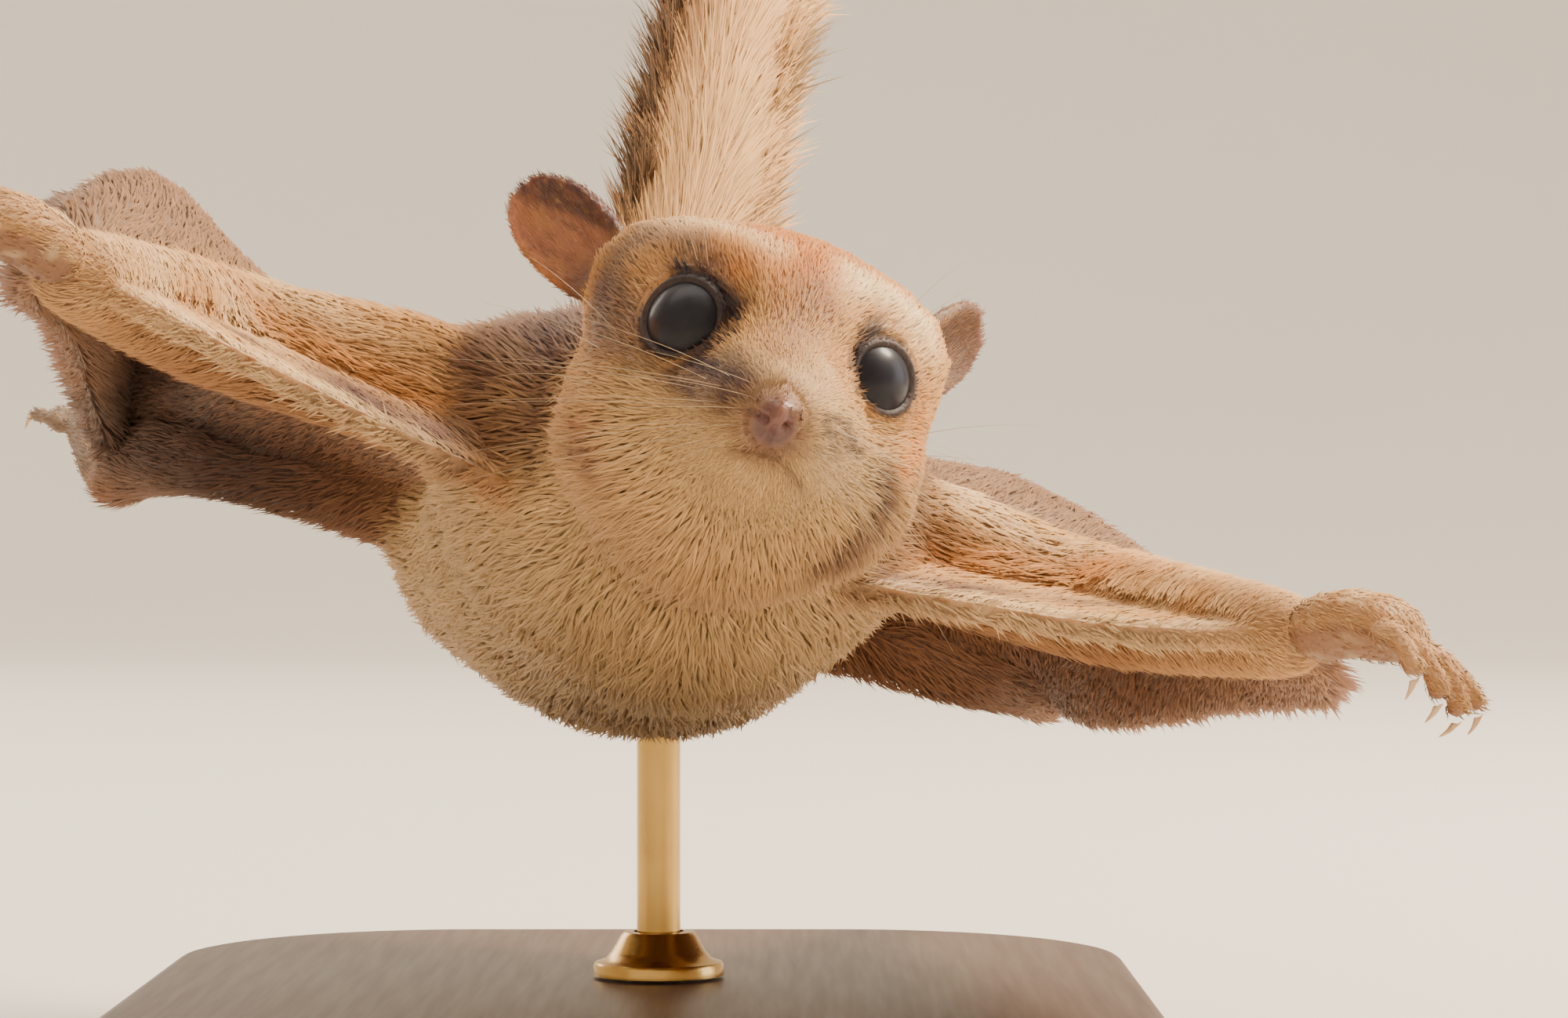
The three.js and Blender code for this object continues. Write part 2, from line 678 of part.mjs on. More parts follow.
function tail() {
  const fullness = (t) => lerp(0.72, 1, Math.min(1, t * 5)) * lerp(1, 0.72, Math.max(0, (t - 0.8) / 0.2));
  const coreSection = (t) => {
    const ends = roundEnds(t, 0.04, 0.12);
    const rootSwell = lerp(1.5, 1, Math.min(1, t * 6));
    return { wide: tailCore.halfWidth * fullness(t) * ends, high: tailCore.halfThick * rootSwell * ends };
  };
  const pieces = [solidOf(along(tailCurve, coreSection, vec(1, 0, 0), 10, 12))];
  for (let i = 0; i < lock.count; i++) {
    const t = lerp(0.05, 0.88, i / (lock.count - 1));
    const uneven = 1 + 0.07 * Math.sin(i * 2.4);
    for (const side of [-1, 1]) {
      pieces.push(tailLock(t, side, lock.length * fullness(t) * uneven, lock.spread * fullness(t)));
    }
  }
  for (const lean of [-14, 0, 14]) {
    pieces.push(tailLock(0.9, Math.sign(lean) || 1, lock.length * 0.95, Math.abs(lean)));
  }
  return join(pieces);
}

// The stand.
const wholeTurn = new THREE.Matrix4()
  .makeTranslation(bankAxis.x, bankAxis.y, bankAxis.z)
  .multiply(new THREE.Matrix4().makeRotationY(radians(bankToLeft)))
  .multiply(new THREE.Matrix4().makeTranslation(shouldersFromAxis.x, shouldersFromAxis.y, shouldersFromAxis.z))
  .multiply(new THREE.Matrix4().makeRotationZ(radians(turnToLeft)))
  .multiply(new THREE.Matrix4().makeRotationX(radians(-pitchUp)));

function standBase() {
  const half = { x: base.width / 2 - base.bevel, y: base.depth / 2 - base.bevel };
  const round = base.corner;
  const outline = new THREE.Shape()
    .moveTo(half.x, -half.y + round)
    .lineTo(half.x, half.y - round)
    .absarc(half.x - round, half.y - round, round, 0, Math.PI / 2)
    .absarc(-half.x + round, half.y - round, round, Math.PI / 2, Math.PI)
    .absarc(-half.x + round, -half.y + round, round, Math.PI, 1.5 * Math.PI)
    .absarc(half.x - round, -half.y + round, round, 1.5 * Math.PI, 2 * Math.PI);
  return new THREE.ExtrudeGeometry(outline, {
    depth: base.thick - 2 * base.bevel,
    bevelThickness: base.bevel,
    bevelSize: base.bevel,
    bevelSegments: 1,
    curveSegments: 5,
  }).translate(0, 0, base.bevel);
}

// The rod stands under the belly and ends in it, so that only the belly's own shape cuts it.
const rodFoot = vec(1.5, 6, 0);
function standRod(belly) {
  const top = bankAxis.z;
  const start = base.thick + gap;
  const shaft = new THREE.CylinderGeometry(rod.radius, rod.radius, top - start, 20)
    .rotateX(Math.PI / 2)
    .translate(rodFoot.x, rodFoot.y, (start + top) / 2);
  return fit(solidOf(shaft), [belly]);
}

function standCollar() {
  const inner = rod.radius + gap;
  const profile = [
    [inner, 0], [collar.radius, 0], [collar.radius, 1.2], [collar.radius * 0.7, collar.height * 0.6],
    [inner + 0.9, collar.height], [inner, collar.height], [inner, 0],
  ].map(([r, z]) => new THREE.Vector2(r, z));
  return new THREE.LatheGeometry(profile, 20)
    .rotateX(Math.PI / 2)
    .translate(rodFoot.x, rodFoot.y, base.thick + gap);
}

// Colours of the finished animal.
const finish = (color, roughness, metalness = 0) => new THREE.MeshStandardMaterial({ color, roughness, metalness });
const backFur = finish(0xa98765, 0.95);
const faceFur = finish(0xc9a27c, 0.95);
const membraneFur = finish(0xb08a66, 0.95);
const tailFur = finish(0xc08a5c, 0.95);
const bareSkin = finish(0xb9826a, 0.7);
const eyeBlack = finish(0x0c0a0b, 0.08);
const hornPale = finish(0xcdb48c, 0.4);
const walnut = finish(0x4a3122, 0.5);
const brass = finish(0xb08d4a, 0.3, 1);

// Putting it together.
const squirrel = new THREE.Group();
const whole = new THREE.Group();
whole.add(squirrel);
squirrel.applyMatrix4(wholeTurn);

function put(group, name, geometry, material) {
  const mesh = new THREE.Mesh(geometry, material);
  mesh.name = name;
  group.add(mesh);
}

const sides = { left: 1, right: -1 };
const room = (geometry) => solidOf(grown(geometry, gap));
const roomOf = (solid) => room(geometryOf(solid));

const trunk = trunkSkin();
const trunkRoom = room(trunk);
const headPlain = headSkin();
const headRoom = room(headPlain);
const neckPlain = neckSkin();
const neckRoom = room(neckPlain);
const neckEnd = -2; // where the neck meets the torso
const ahead = slab(-80, neckEnd);
const behind = slab(neckEnd + gap, 160);
const torso = largest(solidOf(trunk).intersect(behind));
const neck = fit(join([solidOf(trunk), solidOf(neckPlain)]).intersect(ahead), [headRoom]);

let head = join([solidOf(headPlain), solidOf(lids(1)), solidOf(lids(-1)), solidOf(nosePad())]);
for (const side of Object.values(sides)) {
  head = head.subtract(solidOf(eyeball(side, eyeRadius + gap, 16, 10))).subtract(solidOf(nostril(side)));
}
head = largest(head.subtract(solidOf(mouthLine())));

put(squirrel, "torso", geometryOf(torso), backFur);
put(squirrel, "neck", geometryOf(neck), backFur);
put(squirrel, "head", geometryOf(head), faceFur);
put(squirrel, "tail", geometryOf(fit(tail(), [trunkRoom])), tailFur);

for (const [name, side] of Object.entries(sides)) {
  const arm = foreleg(side);
  const leg = hindLeg(side);
  const hand = forepaw(side);
  const foot = hindpaw(side);
  const armRoom = room(arm);
  const legRoom = room(leg);
  const handRoom = roomOf(hand.flesh);
  const footRoom = roomOf(foot.flesh);
  put(squirrel, `eye_${name}`, eyeball(side, eyeRadius, 16, 10), eyeBlack);
  put(squirrel, `ear_${name}`, geometryOf(fit(solidOf(ear(name)), [headRoom, neckRoom])), bareSkin);
  put(squirrel, `foreleg_${name}`, geometryOf(fit(solidOf(arm), [trunkRoom, neckRoom, headRoom])), backFur);
  put(squirrel, `hind_leg_${name}`, geometryOf(fit(solidOf(leg), [trunkRoom])), backFur);
  put(squirrel, `forepaw_${name}`, geometryOf(fit(hand.flesh, [armRoom])), bareSkin);
  put(squirrel, `hind_foot_${name}`, geometryOf(fit(foot.flesh, [legRoom])), bareSkin);
  hand.claws.forEach((claw, i) => {
    put(squirrel, `forepaw_${name}_claw_${i + 1}`, geometryOf(fit(claw, [handRoom])), hornPale);
  });
  foot.claws.forEach((claw, i) => {
    put(squirrel, `hind_foot_${name}_claw_${i + 1}`, geometryOf(fit(claw, [footRoom])), hornPale);
  });
  const limbs = [trunkRoom, neckRoom, headRoom, armRoom, legRoom, handRoom, footRoom];
  put(squirrel, `gliding_membrane_${name}`, geometryOf(fit(solidOf(rearMembrane(side)), limbs)), membraneFur);
  put(squirrel, `front_membrane_${name}`, geometryOf(fit(solidOf(frontMembrane(side)), limbs)), membraneFur);
}

const belly = solidOf(grown(trunk, gap).applyMatrix4(wholeTurn));
put(whole, "stand_base", standBase(), walnut);
put(whole, "stand_rod", geometryOf(standRod(belly)), brass);
put(whole, "stand_collar", standCollar(), brass);

export default whole;
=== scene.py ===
import math

import bpy
import numpy as np
from mathutils import Matrix, Vector
from mathutils.bvhtree import BVHTree


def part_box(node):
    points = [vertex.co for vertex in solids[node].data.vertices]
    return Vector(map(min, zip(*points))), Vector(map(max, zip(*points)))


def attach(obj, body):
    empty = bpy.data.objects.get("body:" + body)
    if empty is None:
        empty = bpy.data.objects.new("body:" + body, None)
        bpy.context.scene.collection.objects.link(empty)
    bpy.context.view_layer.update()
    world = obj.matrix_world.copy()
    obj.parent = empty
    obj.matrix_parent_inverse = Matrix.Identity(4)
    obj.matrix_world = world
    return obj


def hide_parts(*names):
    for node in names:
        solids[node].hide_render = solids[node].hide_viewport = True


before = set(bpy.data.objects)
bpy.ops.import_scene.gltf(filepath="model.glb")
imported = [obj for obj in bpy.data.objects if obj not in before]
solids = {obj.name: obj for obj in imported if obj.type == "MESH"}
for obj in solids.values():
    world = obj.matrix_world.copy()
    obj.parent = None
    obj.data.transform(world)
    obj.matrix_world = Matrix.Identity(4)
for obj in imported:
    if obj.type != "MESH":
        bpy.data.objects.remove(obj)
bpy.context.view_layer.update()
mm = 0.001
sides = {"left": 1, "right": -1}

# The animal's own frame, in millimetres from between the shoulders: +X its left, +Y its tail, +Z its back.
# The head has a frame of its own in that one, and looks along -Y.
posture = {
    "bankAxis": (13.0, -62.0, 52.0),  # a point on the line it banks about
    "bank": 17.5,
    "shoulders": (-10.5, 28.0, -0.3),
    "turn": 5.0,
    "pitch": -9.3,
    "head": (4.0, -23.9, 5.0),
    "headTurn": 4.0,
}


def placeOf(move, turn, axis):
    return Matrix.Translation(Vector(move)) @ Matrix.Rotation(math.radians(turn), 4, axis)


animalPlace = np.array(
    placeOf(posture["bankAxis"], posture["bank"], "Y")
    @ placeOf(posture["shoulders"], posture["turn"], "Z")
    @ placeOf((0, 0, 0), posture["pitch"], "X")
)
headPlace = np.array(placeOf(posture["head"], posture["headTurn"], "Z"))
fromPart = np.linalg.inv(animalPlace)
fromAnimal = np.linalg.inv(headPlace)


def carried(points, place):
    return points @ place[:3, :3].T + place[:3, 3]


def turned(vectors, place):
    return vectors @ place[:3, :3].T


def toPart(points):
    return carried(points, animalPlace) * mm


def toAnimal(points):
    return carried(np.asarray(points) / mm, fromPart)


def toHead(points):
    return carried(points, fromAnimal)


def middleOf(node):
    low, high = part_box(node)
    return toAnimal((low + high) / 2)


# Small helpers for meshes and numbers

def selectOnly(*pieces):
    bpy.ops.object.select_all(action="DESELECT")
    for piece in pieces:
        piece.select_set(True)
    bpy.context.view_layer.objects.active = pieces[0]


def readPoints(mesh):
    flat = np.empty(len(mesh.vertices) * 3, np.float32)
    mesh.vertices.foreach_get("co", flat)
    return flat.reshape(-1, 3).astype(float)


def writePoints(mesh, points):
    mesh.vertices.foreach_set("co", np.ascontiguousarray(points, np.float32).ravel())
    mesh.update()


def readNormals(mesh):
    flat = np.empty(len(mesh.vertices) * 3, np.float32)
    mesh.vertices.foreach_get("normal", flat)
    return flat.reshape(-1, 3).astype(float)


def applyModifier(piece, kind, **settings):
    selectOnly(piece)
    modifier = piece.modifiers.new(kind.title(), kind)
    for key, value in settings.items():
        setattr(modifier, key, value)
    bpy.ops.object.modifier_apply(modifier=modifier.name)


def editMesh(piece):
    selectOnly(piece)
    bpy.ops.object.mode_set(mode="EDIT")
    bpy.ops.mesh.select_all(action="SELECT")


def leaveEdit():
    bpy.ops.object.mode_set(mode="OBJECT")


def closeShape(smoothBelow, inside=False):
    bpy.ops.mesh.select_all(action="SELECT")
    bpy.ops.mesh.normals_make_consistent(inside=inside)
    leaveEdit()
    bpy.ops.object.shade_smooth_by_angle(angle=math.radians(smoothBelow))


def unit(vectors):
    return vectors / np.maximum(np.linalg.norm(vectors, axis=-1, keepdims=True), 1e-9)


def soft(x, low, high):
    t = np.clip((x - low) / (high - low), 0, 1)
    return t * t * (3 - 2 * t)


def bump(x, middle, half):
    return np.exp(-(((x - middle) / half) ** 2))


def mix(a, b, share):
    return a + (b - a) * share


# Smooth random values in space, about `size` apart, from -1 to 1
def drift(points, size, seed):
    table = np.random.default_rng(seed).uniform(-1, 1, (32, 32, 32))
    place = points / size
    cell = np.floor(place).astype(int)
    part = place - cell
    part = part * part * (3 - 2 * part)
    total = np.zeros(len(points))
    for corner in np.ndindex(2, 2, 2):
        index = (cell + corner) % 32
        share = np.prod(np.where(corner, part, 1 - part), axis=1)
        total += share * table[index[:, 0], index[:, 1], index[:, 2]]
    return total


def linear(*colour):
    c = np.array(colour) / 255
    return np.where(c <= 0.04045, c / 12.92, ((c + 0.055) / 1.055) ** 2.4)


# The camera, at the photo's place: level with the eyes, looking back along the glide
camera = {"at": (0.013, -0.412, 0.052), "lens": 104.58, "sensor": 36.0}


def makeCamera():
    data = bpy.data.cameras.new("photoCamera")
    data.lens, data.sensor_width = camera["lens"], camera["sensor"]
    data.clip_start, data.clip_end = 0.01, 20
    seen = bpy.data.objects.new("photoCamera", data)
    seen.location = camera["at"]
    seen.rotation_euler = (math.radians(90), 0, 0)
    bpy.context.collection.objects.link(seen)
    bpy.context.scene.camera = seen


# Soft studio light: a warm key high on the right and a little behind, a cool fill, a weak light from behind
lights = {
    "key": {"at": (0.78, 0.16, 0.95), "size": 0.34, "power": 36.0, "colour": (1.0, 0.85, 0.64)},
    "front": {"at": (-0.35, -1.25, 0.30), "size": 1.8, "power": 4.4, "colour": (1.0, 0.91, 0.80)},
    "window": {"at": (0.96, 0.15, 0.30), "size": 0.5, "power": 3.0, "colour": (0.86, 0.90, 1.0)},
    "behind": {"at": (-0.65, 0.85, 0.50), "size": 0.5, "power": 4.0, "colour": (1.0, 0.93, 0.85)},
    "wall": {
        "at": (0.0, 0.5, 1.9), "size": 2.4, "power": 46.0, "colour": (1.0, 0.96, 0.91), "aim": (0, 2.2, 0.4),
    },
}
studio = {"radius": 1.2, "wall": 0.9, "curve": 1.3, "steps": 18, "sky": 0.36}


def makeLights():
    middle = (0.013, -0.05, 0.055)
    for name, light in lights.items():
        data = bpy.data.lights.new(name, "AREA")
        data.size, data.energy, data.color = light["size"], light["power"], light["colour"]
        lamp = bpy.data.objects.new(name, data)
        lamp.location = light["at"]
        aim = Vector(light.get("aim", middle)) - lamp.location
        lamp.rotation_euler = aim.to_track_quat("-Z", "Y").to_euler()
        bpy.context.collection.objects.link(lamp)
    world = bpy.data.worlds.new("studioSky")
    bpy.context.scene.world = world
    world.use_nodes = True
    sky = world.node_tree.nodes["Background"]
    sky.inputs["Color"].default_value = (0.95, 0.97, 1.0, 1)
    sky.inputs["Strength"].default_value = studio["sky"]


# A round piece: a circle at the first step of the profile, drawn out through the others (radius and height)
def turnedPiece(name, centre, profile, around, filled):
    bpy.ops.object.select_all(action="DESELECT")
    radius, rise = profile[0]
    x, y, z = centre
    fill = "NGON" if filled else "NOTHING"
    place = (x, y, z + rise)
    bpy.ops.mesh.primitive_circle_add(vertices=around, radius=radius, fill_type=fill, location=place)
    piece = bpy.context.object
    piece.name = name
    bpy.ops.object.transform_apply(location=True, rotation=True, scale=True)
    bpy.ops.object.mode_set(mode="EDIT")
    bpy.ops.mesh.select_mode(type="EDGE")
    bpy.ops.mesh.select_all(action="DESELECT")
    bpy.ops.mesh.select_non_manifold()
    for wide, high in profile[1:]:
        bpy.ops.mesh.extrude_region_move(TRANSFORM_OT_translate={"value": (0, 0, high - rise)})
        bpy.ops.transform.resize(value=(wide / radius, wide / radius, 1), center_override=(x, y, z + high))
        radius, rise = wide, high
    return piece


def makeFloor():
    radius, bend = studio["radius"], studio["curve"]
    turns = [math.radians(90 * step / studio["steps"]) for step in range(studio["steps"] + 1)]
    profile = [(radius + bend * math.sin(turn), bend * (1 - math.cos(turn))) for turn in turns]
    profile.append((radius + bend, bend + studio["wall"]))
    floor = turnedPiece("studioFloor", (0, 0, 0), profile, 96, True)
    bpy.ops.mesh.select_all(action="SELECT")
    bpy.ops.mesh.normals_make_consistent(inside=True)
    leaveEdit()
    bpy.ops.object.shade_smooth()
    floor.data.materials.append(floorFinish())


# The stand: a walnut board with rounded corners, and a brass rod with a collar at its foot
stand = {
    "corner": 0.0275,
    "softEdge": 0.0016,
    "rodEnd": 0.0006,
    "rodInto": 0.0016,  # the rod goes this far past its solid, into the coat
    "collar": (
        (6.0, 0.0), (6.0, 0.9), (5.8, 1.2), (4.9, 1.5), (4.3, 2.2),
        (3.5, 3.6), (3.2, 3.95), (2.9, 4.0), (2.3, 4.0), (2.3, 0.0),
    ),
}


def finished(piece, finish, slot, *nodes):
    piece.data.materials.clear()
    piece.data.materials.append(finish)
    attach(piece, "root")
    if nodes:
        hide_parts(*nodes)
    return piece


def selectEdges(piece, wanted):
    bpy.ops.mesh.select_mode(type="EDGE")
    bpy.ops.mesh.select_all(action="DESELECT")
    bpy.ops.object.mode_set(mode="OBJECT")
    points = readPoints(piece.data)
    for edge in piece.data.edges:
        edge.select = bool(wanted(points[edge.vertices[0]], points[edge.vertices[1]]))
    bpy.ops.object.mode_set(mode="EDIT")


def makeStand():
    low, high = (np.array(corner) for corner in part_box("stand_base"))
    bpy.ops.object.select_all(action="DESELECT")
    bpy.ops.mesh.primitive_cube_add(size=1, location=(low + high) / 2, scale=high - low)
    board = bpy.context.object
    board.name = "standBoard"
    bpy.ops.object.transform_apply(location=True, rotation=True, scale=True)
    bpy.ops.object.mode_set(mode="EDIT")
    selectEdges(board, lambda a, b: abs(a[2] - b[2]) > 0.001)
    bpy.ops.mesh.bevel(offset=stand["corner"], segments=16, affect="EDGES")
    selectEdges(board, lambda a, b: abs(a[2] - b[2]) < 1e-6)
    bpy.ops.mesh.bevel(offset=stand["softEdge"], segments=4, affect="EDGES")
    leaveEdit()
    bpy.ops.object.shade_smooth_by_angle(angle=math.radians(40))
    finished(board, walnutFinish(), "stand_wood", "stand_base")
    low, high = (np.array(corner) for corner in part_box("stand_rod"))
    middle = (low + high) / 2
    radius, end = (high[0] - low[0]) / 2, stand["rodEnd"]
    tall = high[2] - low[2] + stand["rodInto"]
    profile = [(radius - end, 0), (radius, end), (radius, tall - end), (radius - end, tall)]
    rod = turnedPiece("standRod", (middle[0], middle[1], low[2]), profile, 48, True)
    bpy.ops.mesh.edge_face_add()
    closeShape(40)
    brass = brassFinish()
    finished(rod, brass, "stand_brass", "stand_rod")
    low, high = (np.array(corner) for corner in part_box("stand_collar"))
    middle = (low + high) / 2
    profile = [(wide * mm, up * mm) for wide, up in stand["collar"]]
    collar = turnedPiece("standCollar", (middle[0], middle[1], low[2]), [*profile, profile[0]], 64, False)
    bpy.ops.mesh.select_all(action="SELECT")
    bpy.ops.mesh.remove_doubles(threshold=1e-6)
    closeShape(35)
    finished(collar, brass, "stand_brass", "stand_collar")
    print("stand: board, rod and collar")


# Materials. Value stands for a socket, so that sums on sockets are written as sums.

class Value:
    def __init__(self, finish, socket):
        self.finish, self.socket = finish, socket

    def sum(self, operation, first, second):
        return self.finish.node("ShaderNodeMath", {"operation": operation}, {0: first, 1: second})["Value"]

    def __add__(self, other):
        return self.sum("ADD", self, other)

    def __mul__(self, other):
        return self.sum("MULTIPLY", self, other)

    __radd__ = __add__
    __rmul__ = __mul__


# A node as made: its outputs are found by name or number when they are asked for
class Made:
    def __init__(self, finish, node):
        self.finish, self.node = finish, node

    def __getitem__(self, name):
        return Value(self.finish, self.node.outputs[name])


class Finish:
    def __init__(self, name, **fixed):
        self.material = bpy.data.materials.new(name)
        self.material.use_nodes = True
        self.tree = self.material.node_tree
        self.shader = self.tree.nodes["Principled BSDF"]
        for socket, value in fixed.items():
            self.shader.inputs[socket.replace("_", " ")].default_value = value

    def feed(self, socket, value):
        if isinstance(value, Value):
            self.tree.links.new(value.socket, socket)
        elif isinstance(value, (tuple, list, np.ndarray)) and len(socket.default_value) == 4:
            socket.default_value = (*value[:3], 1)
        else:
            socket.default_value = value

    def node(self, kind, settings, inputs):
        made = self.tree.nodes.new(kind)
        for name, value in settings.items():
            setattr(made, name, value)
        for name, value in inputs.items():
            self.feed(made.inputs[name], value)
        return Made(self, made)

    def blend(self, share, first, second, how="MIX"):
        settings = {"data_type": "RGBA", "blend_type": how}
        return self.node("ShaderNodeMix", settings, {0: share, 6: first, 7: second})[2]

    def noise(self, scale, detail=2.0, stretch=(1, 1, 1)):
        place = self.node("ShaderNodeTexCoord", {}, {})["Object"]
        mapped = self.node("ShaderNodeMapping", {}, {"Vector": place, "Scale": stretch})["Vector"]
        inputs = {"Vector": mapped, "Scale": scale, "Detail": detail}
        return self.node("ShaderNodeTexNoise", {}, inputs)["Fac"]

    def coatColour(self):
        return self.node("ShaderNodeAttribute", {"attribute_name": "coatColour"}, {})["Color"]

    def relief(self, height, depth, strength=1.0):
        made = self.node("ShaderNodeBump", {}, {"Height": height, "Distance": depth, "Strength": strength})
        self.set(Normal=made["Normal"])

    def set(self, **inputs):
        for name, value in inputs.items():
            self.feed(self.shader.inputs[name.replace("_", " ")], value)


def floorFinish():
    finish = Finish("paleFloor", Roughness=0.9)
    finish.set(Base_Color=finish.blend(finish.noise(6.0) * 0.3, linear(226, 220, 210), linear(214, 208, 198)))
    return finish.material


def walnutFinish():
    finish = Finish("satinWalnut", Roughness=0.42, Coat_Weight=0.25, Coat_Roughness=0.3)
    figure = finish.noise(9.0, 3.0, (1, 0.25, 4))
    rings = finish.noise(60.0, 4.0, (1, 0.06, 1.6))
    pores = finish.noise(900.0, 2.0, (1, 0.05, 1))
    colour = finish.blend(rings, linear(58, 35, 23), linear(112, 74, 48))
    colour = finish.blend(figure * 0.7, colour, linear(74, 44, 28))
    finish.set(Base_Color=finish.blend(pores * 0.35, colour, linear(30, 18, 12)))
    finish.set(Roughness=0.34 + 0.22 * pores)
    finish.relief(pores, 0.00008, 0.6)
    return finish.material


def brassFinish():
    finish = Finish("agedBrass", Metallic=1.0)
    wear = finish.noise(160.0, 3.0)
    lines = finish.noise(2400.0, 2.0, (1, 1, 0.03))
    finish.set(Base_Color=finish.blend(wear * 0.6, linear(206, 168, 98), linear(150, 112, 60)))
    finish.set(Roughness=0.2 + 0.22 * lines * wear)
    finish.relief(lines, 0.00002, 0.4)
    return finish.material


def eyeFinish():
    finish = Finish("wetEye", Roughness=0.46, IOR=1.38, Specular_IOR_Level=0.25)
    finish.set(Coat_Weight=0.4, Coat_Roughness=0.2, Coat_IOR=1.35)
    cloud = finish.noise(420.0, 3.0)
    finish.set(Base_Color=finish.blend(cloud, linear(14, 14, 22), linear(32, 30, 42)))
    return finish.material


def clawFinish():
    finish = Finish("paleHorn", Roughness=0.32, Subsurface_Weight=0.3, Subsurface_Scale=0.0006)
    grain = finish.noise(1500.0, 2.0, (1, 1, 0.4))
    finish.set(Base_Color=finish.blend(grain, linear(232, 206, 168), linear(176, 138, 100)))
    return finish.material


def whiskerFinish():
    finish = Finish("whiskerHair", Roughness=0.35, Coat_Weight=0.4, Coat_Roughness=0.25)
    finish.set(Base_Color=finish.blend(finish.noise(500.0) * 0.4, finish.coatColour(), linear(90, 70, 60)))
    return finish.material


def furFinish():
    finish = Finish("coatFur", Roughness=0.62, Specular_IOR_Level=0.2)
    finish.set(Sheen_Weight=0.07, Sheen_Roughness=0.45, Sheen_Tint=(1.0, 0.9, 0.78))
    grain = finish.noise(900.0)
    finish.set(Base_Color=finish.blend(grain * 0.25, finish.coatColour(), linear(120, 90, 62), "SOFT_LIGHT"))
    return finish.material


def skinFinish(name, rough, under, scale, depth):
    finish = Finish(name, Roughness=rough, Subsurface_Weight=under, Subsurface_Scale=scale)
    finish.shader.inputs["Subsurface Radius"].default_value = (1.0, 0.35, 0.2)
    grain = finish.noise(2600.0, 3.0)
    finish.set(Base_Color=finish.blend(grain * 0.4, finish.coatColour(), linear(110, 74, 56), "SOFT_LIGHT"))
    finish.relief(grain, depth, 0.5)
    return finish.material


# The skin has three finishes: under the coat, on the thin ears, and on the moist bare nose
def dressSkin(skin, surface):
    skin.data.materials.append(skinFinish("skinUnderCoat", 0.6, 0.25, 0.0012, 0.0002))
    skin.data.materials.append(skinFinish("earSkin", 0.55, 0.45, 0.0016, 0.00012))
    skin.data.materials.append(skinFinish("noseSkin", 0.34, 0.4, 0.001, 0.00012))
    ear = surface.share("ear") > 0.5
    bare = near(surface.face, np.array(nose["tip"]) + (0, 0.2, -0.5), (1.8, 1.9, 1.95)) > 0.38
    kinds = np.where(bare, 2, np.where(ear, 1, 0))
    places = [int(kinds[list(polygon.vertices)].min()) for polygon in skin.data.polygons]
    skin.data.polygons.foreach_set("material_index", places)


# The skin: one surface over all the flesh, drawn in by the depth of the coat

fleshParts = [
    "ear", "foreleg", "hind_leg", "forepaw", "hind_foot", "gliding_membrane", "front_membrane", "eye",
]
fleshNodes = ["head", "neck", "torso"] + [f"{part}_{side}" for part in fleshParts for side in sides]
skinLook = {
    "grow": 0.26,  # before the solids are melted together, so that the gaps between them close
    "growFine": 0.04,  # paws and ears
    "voxel": 0.32,
    "rounding": 14,
    "pawRounding": 3,
    "trunkRounding": 220,
    "kept": 0.15,  # the share of the body's faces that stays
    "tailHalfWide": 5.0,
    "tailHalfThick": 2.0,
}

# For each region, the depth of its skin under the coat, and its hair: length, width, lift, tufts a square mm
coatLook = {
    "head": {"depth": 0.38, "length": 1.8, "width": 0.17, "lift": 12, "density": 11.0},
    "ear": {"depth": 0.16, "length": 0.9, "width": 0.075, "lift": 9, "density": 14.0},
    "neck": {"depth": 0.9, "length": 3.4, "width": 0.24, "lift": 22, "density": 6.0},
    "torso": {"depth": 1.2, "length": 4.4, "width": 0.28, "lift": 22, "density": 4.2},
    "foreleg": {"depth": 0.8, "length": 2.6, "width": 0.20, "lift": 20, "density": 6.5},
    "forepaw": {"depth": 0.26, "length": 1.2, "width": 0.12, "lift": 16, "density": 10.0},
    "hindLeg": {"depth": 0.8, "length": 2.8, "width": 0.22, "lift": 20, "density": 4.5},
    "hindFoot": {"depth": 0.28, "length": 1.2, "width": 0.13, "lift": 16, "density": 6.0},
    "membrane": {"depth": 0.42, "length": 2.4, "width": 0.22, "lift": 14, "density": 3.6},
    "frontMembrane": {"depth": 0.4, "length": 2.0, "width": 0.18, "lift": 14, "density": 6.0},
    "tail": {"depth": 0.0, "length": 9.5, "width": 0.30, "lift": 9, "density": 17.0},
}
regionNames = list(coatLook)
regionOfPart = {
    "head": "head", "eye": "head", "ear": "ear", "neck": "neck", "torso": "torso", "foreleg": "foreleg",
    "forepaw": "forepaw", "hind_leg": "hindLeg", "hind_foot": "hindFoot", "gliding_membrane": "membrane",
    "front_membrane": "frontMembrane", "tail": "tail",
}


def partOf(node):
    return node.replace("_left", "").replace("_right", "")


def nodeCopy(node):
    copy = bpy.data.objects.new(f"{node}Flesh", solids[node].data.copy())
    bpy.context.collection.objects.link(copy)
    copy.data.materials.clear()
    editMesh(copy)
    bpy.ops.mesh.remove_doubles(threshold=1e-6)
    bpy.ops.mesh.customdata_custom_splitnormals_clear()
    leaveEdit()
    return copy


# The middle line of the tail, from slices of its solid across the animal's height
def tailLine(slices=14):
    points = toAnimal(readPoints(solids["tail"].data))
    edges = np.linspace(points[:, 2].min() + 1, points[:, 2].max() - 6, slices + 1)
    line = []
    for low, high in zip(edges[:-1], edges[1:]):
        inside = points[(points[:, 2] >= low - 2) & (points[:, 2] <= high + 2)]
        across = (inside[:, 0].min() + inside[:, 0].max()) / 2
        line.append((across, inside[:, 1].mean(), (low + high) / 2))
    line = np.array(line)
    line[1:-1] = (line[:-2] + 2 * line[1:-1] + line[2:]) / 4
    return np.vstack([line[0] - (0, 6, 8), line])


